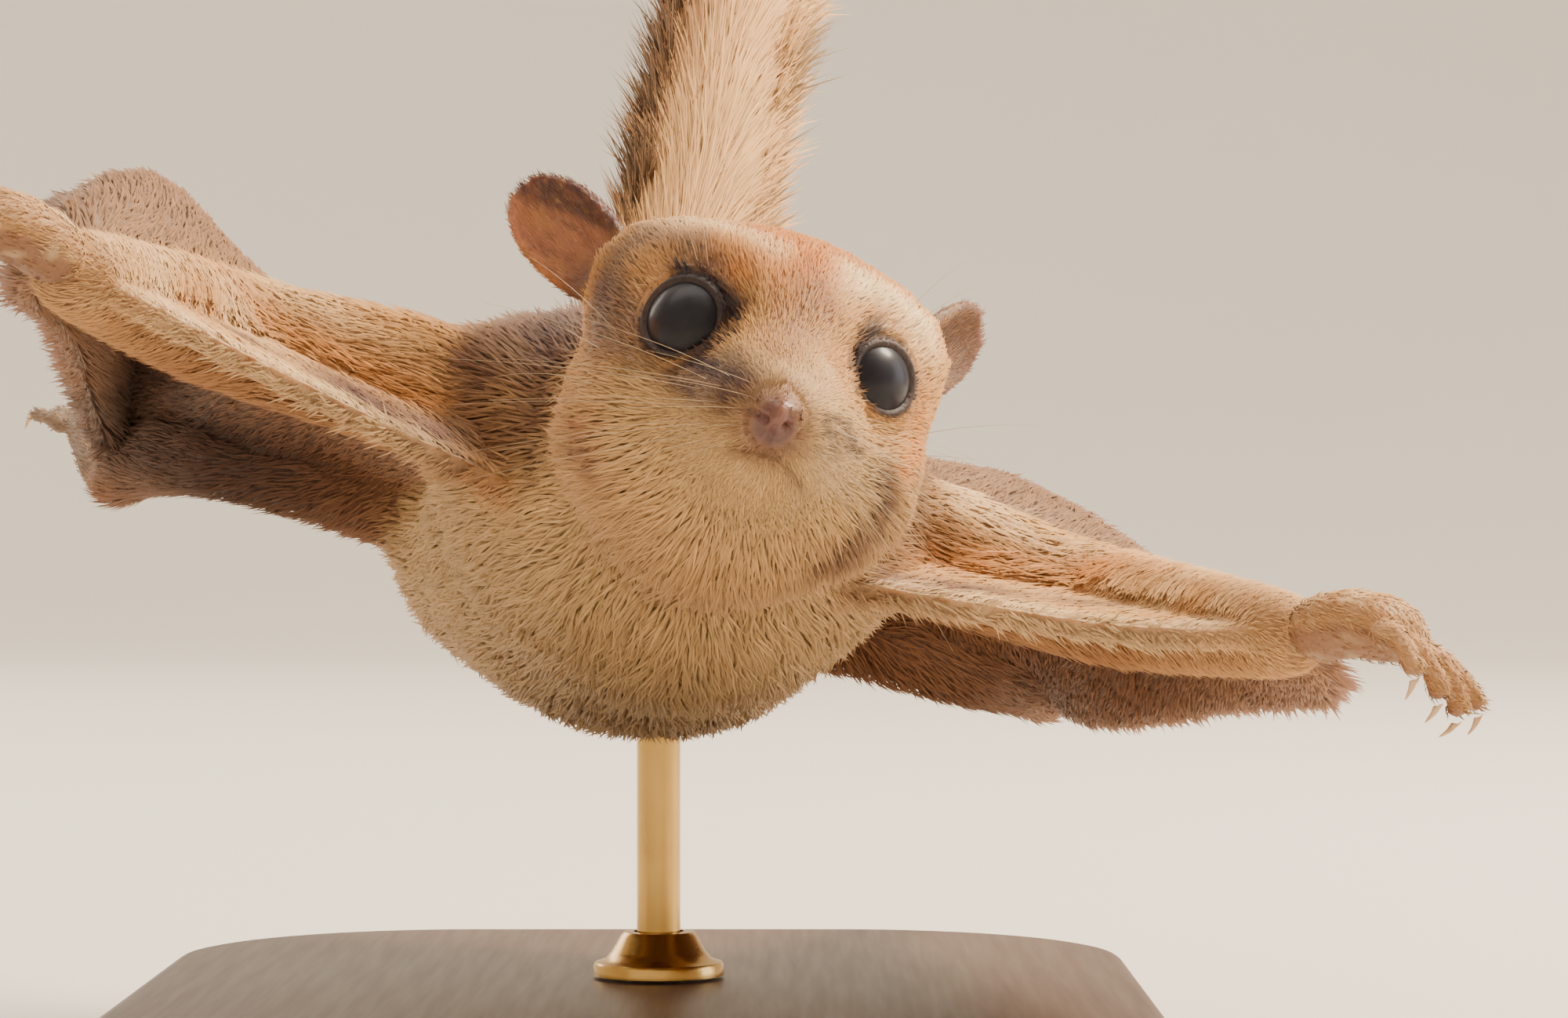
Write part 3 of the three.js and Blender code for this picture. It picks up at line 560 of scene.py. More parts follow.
def alongLine(line, share):
    step = np.clip(share, 0, 1) * (len(line) - 1)
    return np.stack([np.interp(step, np.arange(len(line)), line[:, axis]) for axis in range(3)], axis=-1)


def tailCore(line):
    bpy.ops.object.select_all(action="DESELECT")
    bpy.ops.mesh.primitive_uv_sphere_add(segments=16, ring_count=44, radius=1, location=(0, 0, 0))
    core = bpy.context.object
    ball = readPoints(core.data)
    share = (ball[:, 2] + 1) / 2
    ahead = unit(alongLine(line, share + 0.02) - alongLine(line, share - 0.02))
    across = np.tile([1.0, 0, 0], (len(ball), 1))
    up = unit(np.cross(across, ahead))
    full = np.sqrt(np.clip(1 - np.abs(ball[:, 2]) ** 6, 0.02, 1))
    full /= np.maximum(np.hypot(ball[:, 0], ball[:, 1]), 1e-6)
    full *= mix(1.6, 1.0, soft(share, 0, 0.2))
    wide = (ball[:, 0] * full * skinLook["tailHalfWide"])[:, None]
    thick = (ball[:, 1] * full * skinLook["tailHalfThick"])[:, None]
    writePoints(core.data, toPart(alongLine(line, share) + across * wide + up * thick))
    return core


def edgesOf(mesh):
    flat = np.empty(len(mesh.edges) * 2, np.int32)
    mesh.edges.foreach_get("vertices", flat)
    return flat.reshape(-1, 2)


# Each row moves towards the mean of its neighbours, and a little back again where shares has two signs,
# which takes facets off without drawing thin parts in
def relaxed(rows, edges, rounds, shares=(0.5, -0.52)):
    first, second = edges[:, 0], edges[:, 1]
    count = len(rows)
    degree = np.maximum(np.bincount(edges.ravel(), minlength=count), 1)[:, None]
    for _ in range(rounds):
        for share in shares:
            total = np.empty_like(rows)
            for k in range(rows.shape[1]):
                near = np.bincount(first, rows[second, k], count)
                total[:, k] = near + np.bincount(second, rows[first, k], count)
            rows = rows + share * (total / degree - rows)
    return rows


def weighted(piece, name, weights):
    group = piece.vertex_groups.new(name=name)
    for level in np.unique(weights.round(1)):
        group.add(np.flatnonzero(weights.round(1) == level).tolist(), float(level), "REPLACE")
    return group.name


def makeSkin(line):
    copies = [nodeCopy(node) for node in fleshNodes]
    core = tailCore(line)
    corners, faces, owners = [], [], []
    for copy, node in zip([*copies, core], [*fleshNodes, "tail"]):
        start = len(corners)
        corners.extend(vertex.co.copy() for vertex in copy.data.vertices)
        faces.extend([start + k for k in polygon.vertices] for polygon in copy.data.polygons)
        owners.extend([node] * len(copy.data.polygons))
        fine = partOf(node) in ("forepaw", "hind_foot", "ear")
        grow = skinLook["growFine"] if fine else skinLook["grow"]
        applyModifier(copy, "DISPLACE", strength=grow * mm, mid_level=0.0)
    finder = BVHTree.FromPolygons(corners, faces)
    selectOnly(copies[0], *copies[1:], core)
    bpy.ops.object.join()
    skin = bpy.context.object
    skin.name = "skin"
    applyModifier(skin, "REMESH", mode="VOXEL", voxel_size=skinLook["voxel"] * mm, use_smooth_shade=True)
    melted = toAnimal(readPoints(skin.data))
    edges = edgesOf(skin.data)
    sharp = relaxed(melted, edges, skinLook["pawRounding"])
    soften = relaxed(sharp, edges, skinLook["rounding"] - skinLook["pawRounding"])
    writePoints(skin.data, toPart(fillThroat(mix(soften, sharp, inPaws(melted)[:, None]))))
    trunk = weighted(skin, "trunk", trunkShare(skin, finder, owners))
    applyModifier(skin, "SMOOTH", factor=0.5, iterations=skinLook["trunkRounding"], vertex_group=trunk)
    spare = weighted(skin, "spare", 1 - fineness(toAnimal(readPoints(skin.data))))
    applyModifier(skin, "DECIMATE", ratio=skinLook["kept"], vertex_group=spare, vertex_group_factor=2.0)
    skin.vertex_groups.clear()
    print("skin: melted together,", len(skin.data.polygons), "faces")
    return skin, finder, owners


# Long hair hides the hollow between chin and chest, so the skin is filled there
throat = {"chin": -31.0, "chest": 1.0, "half": 9.0, "above": 9.0, "steps": 22}


def fillThroat(points):
    x, y, z = points.T
    steps = np.linspace(throat["chin"], throat["chest"], throat["steps"])
    middle = np.abs(x) < 3
    low = np.array([z[middle & (np.abs(y - step) < 1)].min() for step in steps])
    ramp = np.interp(steps, steps[[0, -1]], low[[0, -1]])
    drop = np.interp(y, steps, np.minimum(ramp - low, 0))
    over = z - np.interp(y, steps, low)
    inner = 1 - soft(np.abs(x), throat["half"] - 5, throat["half"] + 3)
    share = (1 - soft(over, 1, throat["above"])) * inner
    return points + np.stack([0 * x, 0 * x, drop * share], axis=1)


# Where the facets of the solids are smoothed away: most on the trunk, a little on the limbs
def trunkShare(skin, finder, owners):
    share = {"torso": 1.0, "neck": 1.0, "tail": 0.2}
    share.update({"foreleg": 0.12, "hind_leg": 0.12, "gliding_membrane": 0.12})
    found = [finder.find_nearest(vertex.co)[2] for vertex in skin.data.vertices]
    own = np.array([share.get(partOf(node), 0.0) for node in owners])[found]
    face = toHead(toAnimal(readPoints(skin.data)))
    jowl = (1 - soft(face[:, 2], -9.5, -6.5)) * soft(face[:, 1], -9, -5)
    jowl *= np.linalg.norm(face, axis=1) < 20
    return relaxed(np.maximum(own, jowl)[:, None], edgesOf(skin.data), 12, (0.5,))[:, 0]


def inPaws(points):
    share = np.zeros(len(points))
    for middle, half in boxesOf("forepaw", "hind_foot"):
        share = np.maximum(share, 1 - soft(np.abs((points - middle) / half).max(axis=1), 0.8, 1.1))
    return share


# How fine the skin stays: 1 on the face and the paws, 0 on the body
def fineness(points):
    face = toHead(points)
    share = 1 - soft(np.linalg.norm((face - (0, -6, -1)) / (14, 12, 12), axis=1), 1.0, 1.3)
    for middle, half in boxesOf("forepaw", "hind_foot", "ear"):
        share = np.maximum(share, (np.abs(points - middle) < half + 3).all(axis=1) * 0.8)
    return share


# The middles and half sizes of some solids, in the animal's frame
def boxesOf(*parts):
    for node in solids:
        if partOf(node) in parts:
            points = toAnimal(readPoints(solids[node].data))
            yield (points.min(0) + points.max(0)) / 2, (points.max(0) - points.min(0)) / 2


# What the surface looks like at each point of the skin: shares of the regions, and where it lies

class Surface:
    def __init__(self, skin, finder, owners):
        mesh = skin.data
        self.edges = edgesOf(mesh)
        self.points = toAnimal(readPoints(mesh))
        found = [finder.find_nearest(vertex.co)[2] for vertex in mesh.vertices]
        self.owner = np.array(owners)[found]
        shares = np.zeros((len(found), len(regionNames)))
        for k, node in enumerate(self.owner):
            shares[k, regionNames.index(regionOfPart[partOf(node)])] = 1
        self.shares = relaxed(shares, self.edges, 9, (0.5,))
        self.side = np.where(self.points[:, 0] > 2, 1, -1)
        self.measure(skin)

    def measure(self, skin):
        self.points = toAnimal(readPoints(skin.data))
        self.normals = unit(turned(readNormals(skin.data), fromPart))
        self.smoothNormals = unit(relaxed(self.normals, self.edges, 14, (0.5,)))
        self.face = toHead(self.points)

    def share(self, *names):
        return sum(self.shares[:, regionNames.index(name)] for name in names)

    def look(self, key):
        return self.shares @ np.array([coatLook[name][key] for name in regionNames])


def moveSkin(skin, surface, points):
    writePoints(skin.data, toPart(points))
    surface.measure(skin)


# The face, worked into the skin: lids, nose, mouth and whisker pads. Places are in the head's own frame.
eyes = {
    "radius": 4.3,
    "look": {"left": (0.47, -0.87, 0.12), "right": (-0.63, -0.77, 0.0)},
    "open": {"left": (41, 36), "right": (48, 43)},  # half the opening, in degrees about the middle of the eye
    "lid": 0.42,
    "under": 0.9,
    "cornea": 0.035,
    "corneaWide": 34,
}
eyeMiddle = {name: toHead(middleOf(f"eye_{name}")) for name in sides}
nose = {
    "tip": (-0.85, -17.9, -5.1),
    "drawn": (-0.65, 0, -0.5),  # from the solid's place to the photo's
    "nostril": 0.36,
    "nostrilDeep": 0.75,
    "cleft": 0.3,
}
mouth = {"below": 2.6, "half": 4.2, "deep": 0.26, "wide": 0.24, "fall": {1: 0.27, -1: 0.05}}
ears = {
    "left": {"root": (13.0, 9.0, 6.6), "tip": (0.5, 0.5, 0.64), "open": (0.85, -0.5, 0.05)},
    "right": {"root": (-13.3, 8.0, 6.4), "tip": (-0.84, 0.3, 0.5), "open": (-0.2, -0.92, -0.12)},
}


def eyeAxes(name):
    look = unit(np.array(eyes["look"][name]))
    across = unit(np.cross((0, 0, 1.0), look))
    return look, across, np.cross(look, across)


def aroundEye(face, name):
    look, across, up = eyeAxes(name)
    away = face - eyeMiddle[name]
    distance = np.linalg.norm(away, axis=1)
    angle = np.degrees(np.arccos(np.clip(away @ look / np.maximum(distance, 1e-9), -1, 1)))
    turn = np.arctan2(away @ up, away @ across)
    wide, high = eyes["open"][name]
    opening = 1 / np.hypot(np.cos(turn) / wide, np.sin(turn) / high)
    return away, distance, angle - opening, turn


def setLids(face):
    for name in sides:
        away, distance, past, turn = aroundEye(face, name)
        rim = mix(-eyes["under"], eyes["lid"], soft(past, -7, 0)) + 0.3 * soft(past, 2, 14)
        brow = 0.5 + 0.5 * np.sin(turn)
        crease = -0.30 * bump(past, 8.5, 2.6) * (0.35 + 0.65 * brow) - 0.16 * bump(past, 19, 4)
        wanted = eyes["radius"] + rim + crease + 0.25 * brow * bump(past, 14, 5)
        share = (1 - soft(past, 8, 34)) * (distance < eyes["radius"] + 3)
        radius = mix(distance, wanted, share)
        face = eyeMiddle[name] + away * (radius / distance)[:, None]
    return face


def setNose(face, normals):
    tip = np.array(nose["tip"])
    pad = np.exp(-((np.linalg.norm((face - tip - (0, 0, -0.4)) / (1.0, 1.0, 1.25), axis=1) / 2.4) ** 4))
    depth = np.zeros(len(face))
    for side in sides.values():
        hole = tip + (side * 1.0, -0.1, -0.55)
        comma = tip + (side * 1.9, 0.9, 0.15)
        for share in np.linspace(0, 1, 5):
            spot = mix(hole, comma, share)
            width = nose["nostril"] * mix(1.15, 0.6, share)
            hollow = np.exp(-((np.linalg.norm(face - spot, axis=1) / width) ** 2))
            depth = np.maximum(depth, nose["nostrilDeep"] * mix(1, 0.45, share) * hollow)
    x, y, z = face.T
    cleft = nose["cleft"] * bump(x, tip[0], 0.24) * soft(z, -8.6, -7.0)
    cleft *= (1 - soft(z, -5.9, -5.2)) * (y < -14)
    wings = 0.34 * pad * bump(np.abs(x - tip[0]), 1.7, 0.55) * bump(z, tip[2] + 0.1, 1.2)
    septum = 0.30 * bump(x, tip[0], 0.55) * bump(z, tip[2] - 0.3, 1.5) * (y < -14)
    bridge = 0.22 * bump(x, tip[0], 0.9) * bump(z, -2.4, 1.3) * (y < -12)
    edge = -0.16 * bump(pad, 0.4, 0.18)
    return face + normals * (wings + septum + bridge + edge - depth - cleft)[:, None]


def mouthHeight(across):
    fall = np.where(across > 0, mouth["fall"][1], mouth["fall"][-1])
    return nose["tip"][2] - mouth["below"] - fall * np.abs(across) ** 1.25


def setMouth(face, normals):
    off = face[:, 2] - mouthHeight(face[:, 0])
    front = (face[:, 1] < -9) * (1 - soft(np.abs(face[:, 0]), mouth["half"] - 1.6, mouth["half"]))
    groove = -mouth["deep"] * bump(off, 0, mouth["wide"])
    lips = 0.14 * bump(off, 0.8, 0.5) + 0.12 * bump(off, -0.75, 0.5)
    return face + normals * ((groove + lips) * front)[:, None]


def refine(skin, middle, half):
    face = toHead(toAnimal(readPoints(skin.data)))
    inside = np.linalg.norm((face - middle) / half, axis=1) < 1
    mesh = skin.data
    chosen = np.array([inside[list(polygon.vertices)].all() for polygon in mesh.polygons])
    editMesh(skin)
    bpy.ops.mesh.select_mode(type="FACE")
    bpy.ops.mesh.select_all(action="DESELECT")
    leaveEdit()
    mesh.polygons.foreach_set("select", chosen)
    bpy.ops.object.mode_set(mode="EDIT")
    bpy.ops.mesh.subdivide(number_cuts=1, ngon=True)
    bpy.ops.mesh.select_all(action="SELECT")
    bpy.ops.mesh.quads_convert_to_tris()
    leaveEdit()


def shapeFace(skin, surface):
    wrist = surface.share("foreleg", "frontMembrane") * soft(np.abs(surface.points[:, 0]), 34, 47)
    depth = surface.look("depth") * (1 - 0.65 * wrist)
    moveSkin(skin, surface, surface.points - surface.normals * depth[:, None])
    front = surface.share("head") > 0.02
    face = surface.face.copy()
    face[front] += soft(-face[front, 1], 8, 16)[:, None] * nose["drawn"]
    face[front] = setLids(face[front])
    normals = turned(surface.normals, fromAnimal)
    face[front] = setNose(face[front], normals[front])
    face[front] = setMouth(face[front], normals[front])
    moveSkin(skin, surface, carried(face, headPlace))
    print("skin: face shaped")


def makeEyes():
    finish = eyeFinish()
    for name in sides:
        middle = toPart(carried(eyeMiddle[name], headPlace))
        look = turned(turned(eyeAxes(name)[0], headPlace), animalPlace)
        bpy.ops.object.select_all(action="DESELECT")
        size = eyes["radius"] * mm
        bpy.ops.mesh.primitive_uv_sphere_add(segments=72, ring_count=48, radius=size, location=middle)
        eye = bpy.context.object
        eye.name = f"eyeball{name.title()}"
        bpy.ops.object.transform_apply(location=True, rotation=True, scale=True)
        away = readPoints(eye.data) - middle
        angle = np.degrees(np.arccos(np.clip(unit(away) @ look, -1, 1)))
        swell = 1 + eyes["cornea"] * np.exp(-((angle / eyes["corneaWide"]) ** 4))
        writePoints(eye.data, middle + away * swell[:, None])
        bpy.ops.object.shade_smooth()
        finished(eye, finish, "eye", f"eye_{name}")
    print("eyes: made")


def makeClaws():
    nodes = [node for node in solids if "claw" in node]
    copies = [nodeCopy(node) for node in nodes]
    selectOnly(*copies)
    bpy.ops.object.join()
    claws = bpy.context.object
    claws.name = "claws"
    applyModifier(claws, "SUBSURF", levels=2, render_levels=2)
    bpy.ops.object.shade_smooth()
    finished(claws, clawFinish(), "claw", *nodes)
    print("claws:", len(nodes))


# Whiskers: single hairs from the pads, the brows and the cheeks. Each has a root, a way, a length and a bend.
whiskers = {"rows": 5, "each": 3, "rootHalf": 0.034, "tipHalf": 0.009, "rings": 12, "around": 5}


def whiskerPlan():
    rng = np.random.default_rng(41)
    plan = []
    for side in sides.values():
        for row in range(whiskers["rows"]):
            for place in range(whiskers["each"]):
                root = (side * (2.6 + 1.2 * place), -16.2 + 1.7 * place, -3.3 - 0.85 * row - 0.1 * place)
                way = (side * (0.9 + 0.12 * place), 0.05 + 0.2 * place, 0.18 - 0.2 * row + 0.05 * place)
                length = 10 + 4.2 * place - 0.8 * abs(row - 1.5)
                plan.append((root, way, length, (0.1 * side, 0.42, -0.06)))
        plan.append(((side * 7.6, -6.6, 6.4), (side * 0.36, -0.25, 1.0), 9.5, (0.15 * side, 0.2, 0.0)))
        plan.append(((side * 8.3, -6.0, 6.3), (side * 0.62, -0.2, 0.9), 7.0, (0.1 * side, 0.25, 0.0)))
        plan.append(((side * 12.6, -2.6, -0.2), (side * 1.0, -0.3, 0.62), 10.0, (0.1 * side, 0.2, -0.1)))
        plan.append(((side * 12.4, -3.0, -2.0), (side * 1.0, -0.3, 0.26), 8.0, (0.0, 0.3, -0.1)))
        plan.append(((side * 11.8, -3.4, -4.6), (side * 1.0, -0.3, 0.02), 9.5, (0.0, 0.2, -0.3)))
    for root, way, length, bend in plan:
        way = unit(np.array(way) + 0.07 * rng.standard_normal(3))
        yield np.array(root), way, length * rng.uniform(0.85, 1.12), np.array(bend)


def makeWhiskers(surface):
    steps = np.linspace(0, 1, whiskers["rings"])
    turns = np.linspace(0, 2 * math.pi, whiskers["around"], endpoint=False)
    points, faces, colours = [], [], []
    for root, way, length, bend in whiskerPlan():
        spot = surface.face[np.linalg.norm(surface.face - root, axis=1).argmin()]
        path = spot - way * 0.5 + length * (steps[:, None] * way + (steps**2)[:, None] * bend)
        ahead = unit(np.gradient(path, axis=0))
        aside = unit(np.cross(ahead, (0.1, 0.2, 1.0)))
        above = np.cross(ahead, aside)
        half = mix(whiskers["rootHalf"], whiskers["tipHalf"], steps**0.8)[:, None, None]
        ring = aside[:, None, :] * np.cos(turns)[None, :, None]
        ring = ring + above[:, None, :] * np.sin(turns)[None, :, None]
        start = len(points)
        points.extend((path[:, None, :] + half * ring).reshape(-1, 3))
        points.extend((path[0], path[-1]))
        tone = mix(paint["rust"], paint["whisker"], soft(steps, 0.0, 0.2)[:, None])
        colours.extend(np.repeat(tone, whiskers["around"], axis=0))
        colours.extend((tone[0], tone[-1]))
        count = whiskers["around"]
        last = start + len(steps) * count
        for k in range(count):
            after = (k + 1) % count
            faces.append((last, start + after, start + k))
            faces.append((last + 1, last - count + k, last - count + after))
            for ringAt in range(start, last - count, count):
                faces.append((ringAt + k, ringAt + after, ringAt + count + after, ringAt + count + k))
    mesh = bpy.data.meshes.new("whiskers")
    mesh.from_pydata(toPart(carried(np.array(points), headPlace)).tolist(), [], faces)
    paintMesh(mesh, np.array(colours))
    piece = bpy.data.objects.new("whiskers", mesh)
    bpy.context.collection.objects.link(piece)
    editMesh(piece)
    bpy.ops.mesh.normals_make_consistent(inside=False)
    leaveEdit()
    bpy.ops.object.shade_smooth()
    finished(piece, whiskerFinish(), "face_fur")
    print("whiskers: made")


# The lie of the coat: the way the hair points at each point of the skin, in the animal's frame

def layCoat(surface, line):
    points, normals = surface.points, surface.normals
    side = surface.side[:, None]
    back = np.tile([0.0, 1.0, 0.0], (len(points), 1))
    out = np.hstack([side, np.zeros((len(points), 2))])
    ways = {}
    fromNose = unit(surface.face - np.array(nose["tip"]) + (0, -1.5, 0))
    ways["head"] = turned(fromNose, headPlace)
    ways["neck"] = ways["torso"] = back + 0.12 * out * (np.abs(points[:, :1]) > 6)
    ways["tail"] = tailWay(points, line)
    sweeps = {"foreleg": 0.35, "forepaw": 0.0, "hindLeg": 0.3, "hindFoot": 0.0}
    for name, sweep in sweeps.items():
        part = {"hindLeg": "hind_leg", "hindFoot": "hind_foot"}.get(name, name)
        ways[name] = np.zeros_like(points)
        for sideName, sign in sides.items():
            here = surface.side == sign
            ways[name][here] = limbWay(part, sideName) + sweep * back[here]
    ways["membrane"] = 0.45 * out + back
    ways["frontMembrane"] = out + 0.5 * back
    ways["ear"] = np.zeros_like(points)
    for sideName, sign in sides.items():
        here = surface.side == sign
        root, tip = np.array(ears[sideName]["root"]), np.array(ears[sideName]["tip"])
        ways["ear"][here] = turned(unit(surface.face[here] - root + 3 * unit(tip)), headPlace)
    way = sum(surface.share(name)[:, None] * unit(ways[name]) for name in regionNames)
    way -= normals * np.sum(way * normals, axis=1, keepdims=True)
    surface.way = unit(way)
    print("coat: lie of the hair set")


def tailWay(points, line):
    gap = np.linalg.norm(points[:, None, :] - line[None, :, :], axis=2)
    near = np.clip(gap.argmin(axis=1), 1, len(line) - 2)
    ahead = unit(line[near + 1] - line[near - 1])
    aside = np.clip((points[:, 0] - line[near, 0]) / skinLook["tailHalfWide"], -1, 1)
    return ahead + 1.0 * np.stack([aside, 0 * aside, 0 * aside], axis=1)


def limbWay(part, sideName):
    joints = {
        "foreleg": ("torso", f"forepaw_{sideName}"),
        "forepaw": (f"foreleg_{sideName}", f"forepaw_{sideName}_claw_2"),
        "hind_leg": ("hind_leg", f"hind_foot_{sideName}"),
        "hind_foot": (f"hind_leg_{sideName}", f"hind_foot_{sideName}_claw_3"),
    }
    start, end = joints[part]
    if part == "foreleg":
        return unit(middleOf(end) - (0, -6, 0))
    if part == "hind_leg":
        return unit(middleOf(end) - (0, 62, 0))
    return unit(middleOf(end) - middleOf(start))


# Colours of the coat. Among the markings below are painted highlights and painted shade. The skin and the
# hair on it share them.
coatColours = {
    "crown": (198, 122, 54),
    "greyBrown": (128, 98, 78),
    "cream": (206, 168, 118),
    "pale": (240, 208, 162),
    "tan": (202, 150, 90),
    "bridge": (170, 126, 88),
    "eyeDark": (42, 29, 34),
    "dark": (86, 58, 56),
    "rust": (150, 98, 72),
    "back": (144, 108, 80),
    "orange": (210, 142, 76),
    "bare": (120, 78, 70),
    # A painted highlight for the ridge of the nose
    "nosePale": (172, 124, 106),
    # The ear's red is partly its skin and partly the painted glow of light shining through it
    "earRed": (200, 136, 104),
    "earBrown": (136, 104, 84),
    "web": (156, 112, 82),
    # Painted shade for the hollow under the membranes
    "pocket": (84, 62, 54),
    "armUnder": (184, 134, 92),
    "paw": (206, 158, 108),
    "foot": (150, 124, 100),
    "peach": (234, 184, 126),
    "whisker": (196, 168, 130),
}
paint = {name: linear(*colour) for name, colour in coatColours.items()}


def towards(colour, name, share):
    return mix(colour, paint[name], np.clip(share, 0, 1)[:, None])


def near(points, spot, half):
    return np.exp(-(np.linalg.norm((points - np.array(spot)) / half, axis=1) ** 2))


# How near each point is to a line through some spots: 1 on it, 0 well away from it
def nearLine(points, spots, half):
    share = np.zeros(len(points))
    for start, end in zip(spots[:-1], spots[1:]):
        start, end = np.array(start, float), np.array(end, float)
        along = np.clip((points - start) @ (end - start) / np.dot(end - start, end - start), 0, 1)
        away = np.linalg.norm(points - start - along[:, None] * (end - start), axis=1)
        share = np.maximum(share, np.exp(-((away / half) ** 2)))
    return share


# Markings, and the painted highlights and shade among them, are rows of a colour, spots along the marking,
# half width and strength
def marked(colour, points, marks, vary):
    for name, spots, half, share in marks:
        colour = towards(colour, name, share * nearLine(points, spots, half) * vary)
    return colour


headMarksAndLight = (
    # The first two rows are painted highlights, where the light falls on the top of the head and over the
    # brows.
    ("pale", ((-2.4, -6.5, 9.6), (-6.6, -2.0, 10.4), (-9.6, 1.2, 9.6)), 2.0, 0.75),
    ("pale", ((3.4, -7.0, 8.6), (7.2, -5.4, 8.2), (10.6, -2.0, 7.6)), 2.6, 0.95),
    ("crown", ((-3.6, -2.8, 11.1), (0.2, -7.0, 9.3), (-0.4, -10.1, 5.2)), 1.9, 0.95),
    ("bridge", ((0.0, -9.8, 5.9), (-0.6, -11.6, 2.7), (-1.0, -14.5, 0.3)), 1.9, 0.8),
    ("rust", ((-0.4, -7.6, 8.7), (1.3, -9.8, 5.7), (2.6, -10.0, 4.4)), 0.45, 0.6),
    ("rust", ((-2.4, -9.9, 5.1), (-2.3, -11.9, 2.6), (-2.4, -13.4, 0.6)), 0.6, 0.4),
    ("crown", ((-7.4, -5.8, 6.8), (-5.3, -7.6, 6.2)), 1.3, 0.7),
    ("crown", ((3.2, -11.5, 1.8), (3.6, -12.6, -0.6)), 1.2, 0.4),
    ("greyBrown", ((-13.3, 0.6, 4.4), (-11.8, -2.6, 1.5), (-10.8, -4.0, -1.0)), 1.7, 0.8),
    ("greyBrown", ((-9.1, -3.9, 8.0), (-6.6, -6.6, 6.4)), 1.2, 0.6),
    ("crown", ((5.0, -7.5, 6.6), (7.6, -5.8, 6.8)), 0.9, 0.45),
    ("greyBrown", ((-13.1, 1.1, 7.6), (-13.3, 0.6, 4.4), (-12.7, -0.8, 1.2)), 2.3, 0.85),
    ("greyBrown", ((-11.6, -1.0, 8.6), (-8.6, -3.6, 8.2)), 1.5, 0.7),
    # Painted shade on the right side of the neck, behind the ear.
    ("dark", ((-14.4, 3.0, 4.6), (-13.6, 1.2, 2.4)), 1.7, 0.8),
    ("eyeDark", ((-9.2, -5.0, 5.6), (-7.2, -6.7, 5.2), (-5.6, -7.9, 4.0), (-4.7, -8.4, 3.0)), 1.15, 0.97),
    ("eyeDark", ((-4.9, -8.1, 3.9), (-4.6, -9.2, 1.9)), 0.95, 0.8),
    # The next three rows are dark streaks under the right eye, made darker than the fur to paint the shade on
    # that side of the face.
    ("dark", ((-6.7, -9.4, -1.3), (-5.3, -13.0, -2.5), (-4.1, -15.4, -3.2), (-3.6, -15.9, -3.5)), 1.6, 0.95),
    ("eyeDark", ((-6.9, -8.7, -0.8), (-5.3, -13.0, -2.7), (-4.3, -15.0, -3.3)), 0.8, 0.6),
    ("dark", ((-9.2, -6.2, -2.2), (-7.3, -9.7, -3.4), (-5.4, -13.9, -4.7), (-4.3, -15.6, -4.8)), 1.0, 0.85),
    ("dark", ((-4.4, -12.8, -0.6), (-3.7, -14.8, -2.0)), 0.8, 0.55),
    ("eyeDark", ((5.2, -8.0, 3.0), (5.2, -7.4, 4.7), (6.0, -6.9, 5.8)), 0.95, 0.9),
    ("dark", ((4.9, -8.8, 2.4), (4.9, -9.6, 0.8)), 0.7, 0.45),
    ("orange", ((11.8, -2.9, 2.4), (12.0, -3.6, -0.8), (11.4, -5.8, -3.8)), 1.3, 0.9),
    # Painted shadow under the left jaw, where it meets the neck.
    ("dark", ((9.7, -7.0, -5.2), (10.2, -6.2, -6.4), (9.0, -5.5, -8.4), (7.5, -2.9, -11.2)), 1.5, 0.8),
    ("eyeDark", ((2.6, -16.3, -3.8), (5.3, -12.6, -2.9)), 0.38, 0.8),
    ("eyeDark", ((3.0, -16.2, -4.7), (6.0, -11.7, -3.8)), 0.42, 0.85),
    ("eyeDark", ((3.8, -15.5, -5.5), (7.1, -9.8, -4.1)), 0.40, 0.8),
    ("eyeDark", ((2.9, -15.9, -6.1), (5.6, -12.9, -5.9)), 0.34, 0.6),
    ("greyBrown", ((-13.5, 1.5, 1.8), (-11.9, -3.5, -1.6)), 1.6, 0.75),
    # The next two rows are painted shade along the right jaw line.
    ("rust", ((-11.4, -3.8, -7.6), (-9.7, -3.4, -9.7)), 1.1, 0.8),
    ("greyBrown", ((-10.6, -3.4, -9.0), (-8.9, -3.9, -10.6)), 1.0, 0.5),
    ("pale", ((2.2, -13.2, 1.4), (3.4, -12.8, -1.4)), 0.9, 0.35),
    ("pale", ((3.6, -15.2, -6.4), (6.2, -11.5, -7.2), (8.2, -8.2, -6.2)), 1.7, 0.35),
)


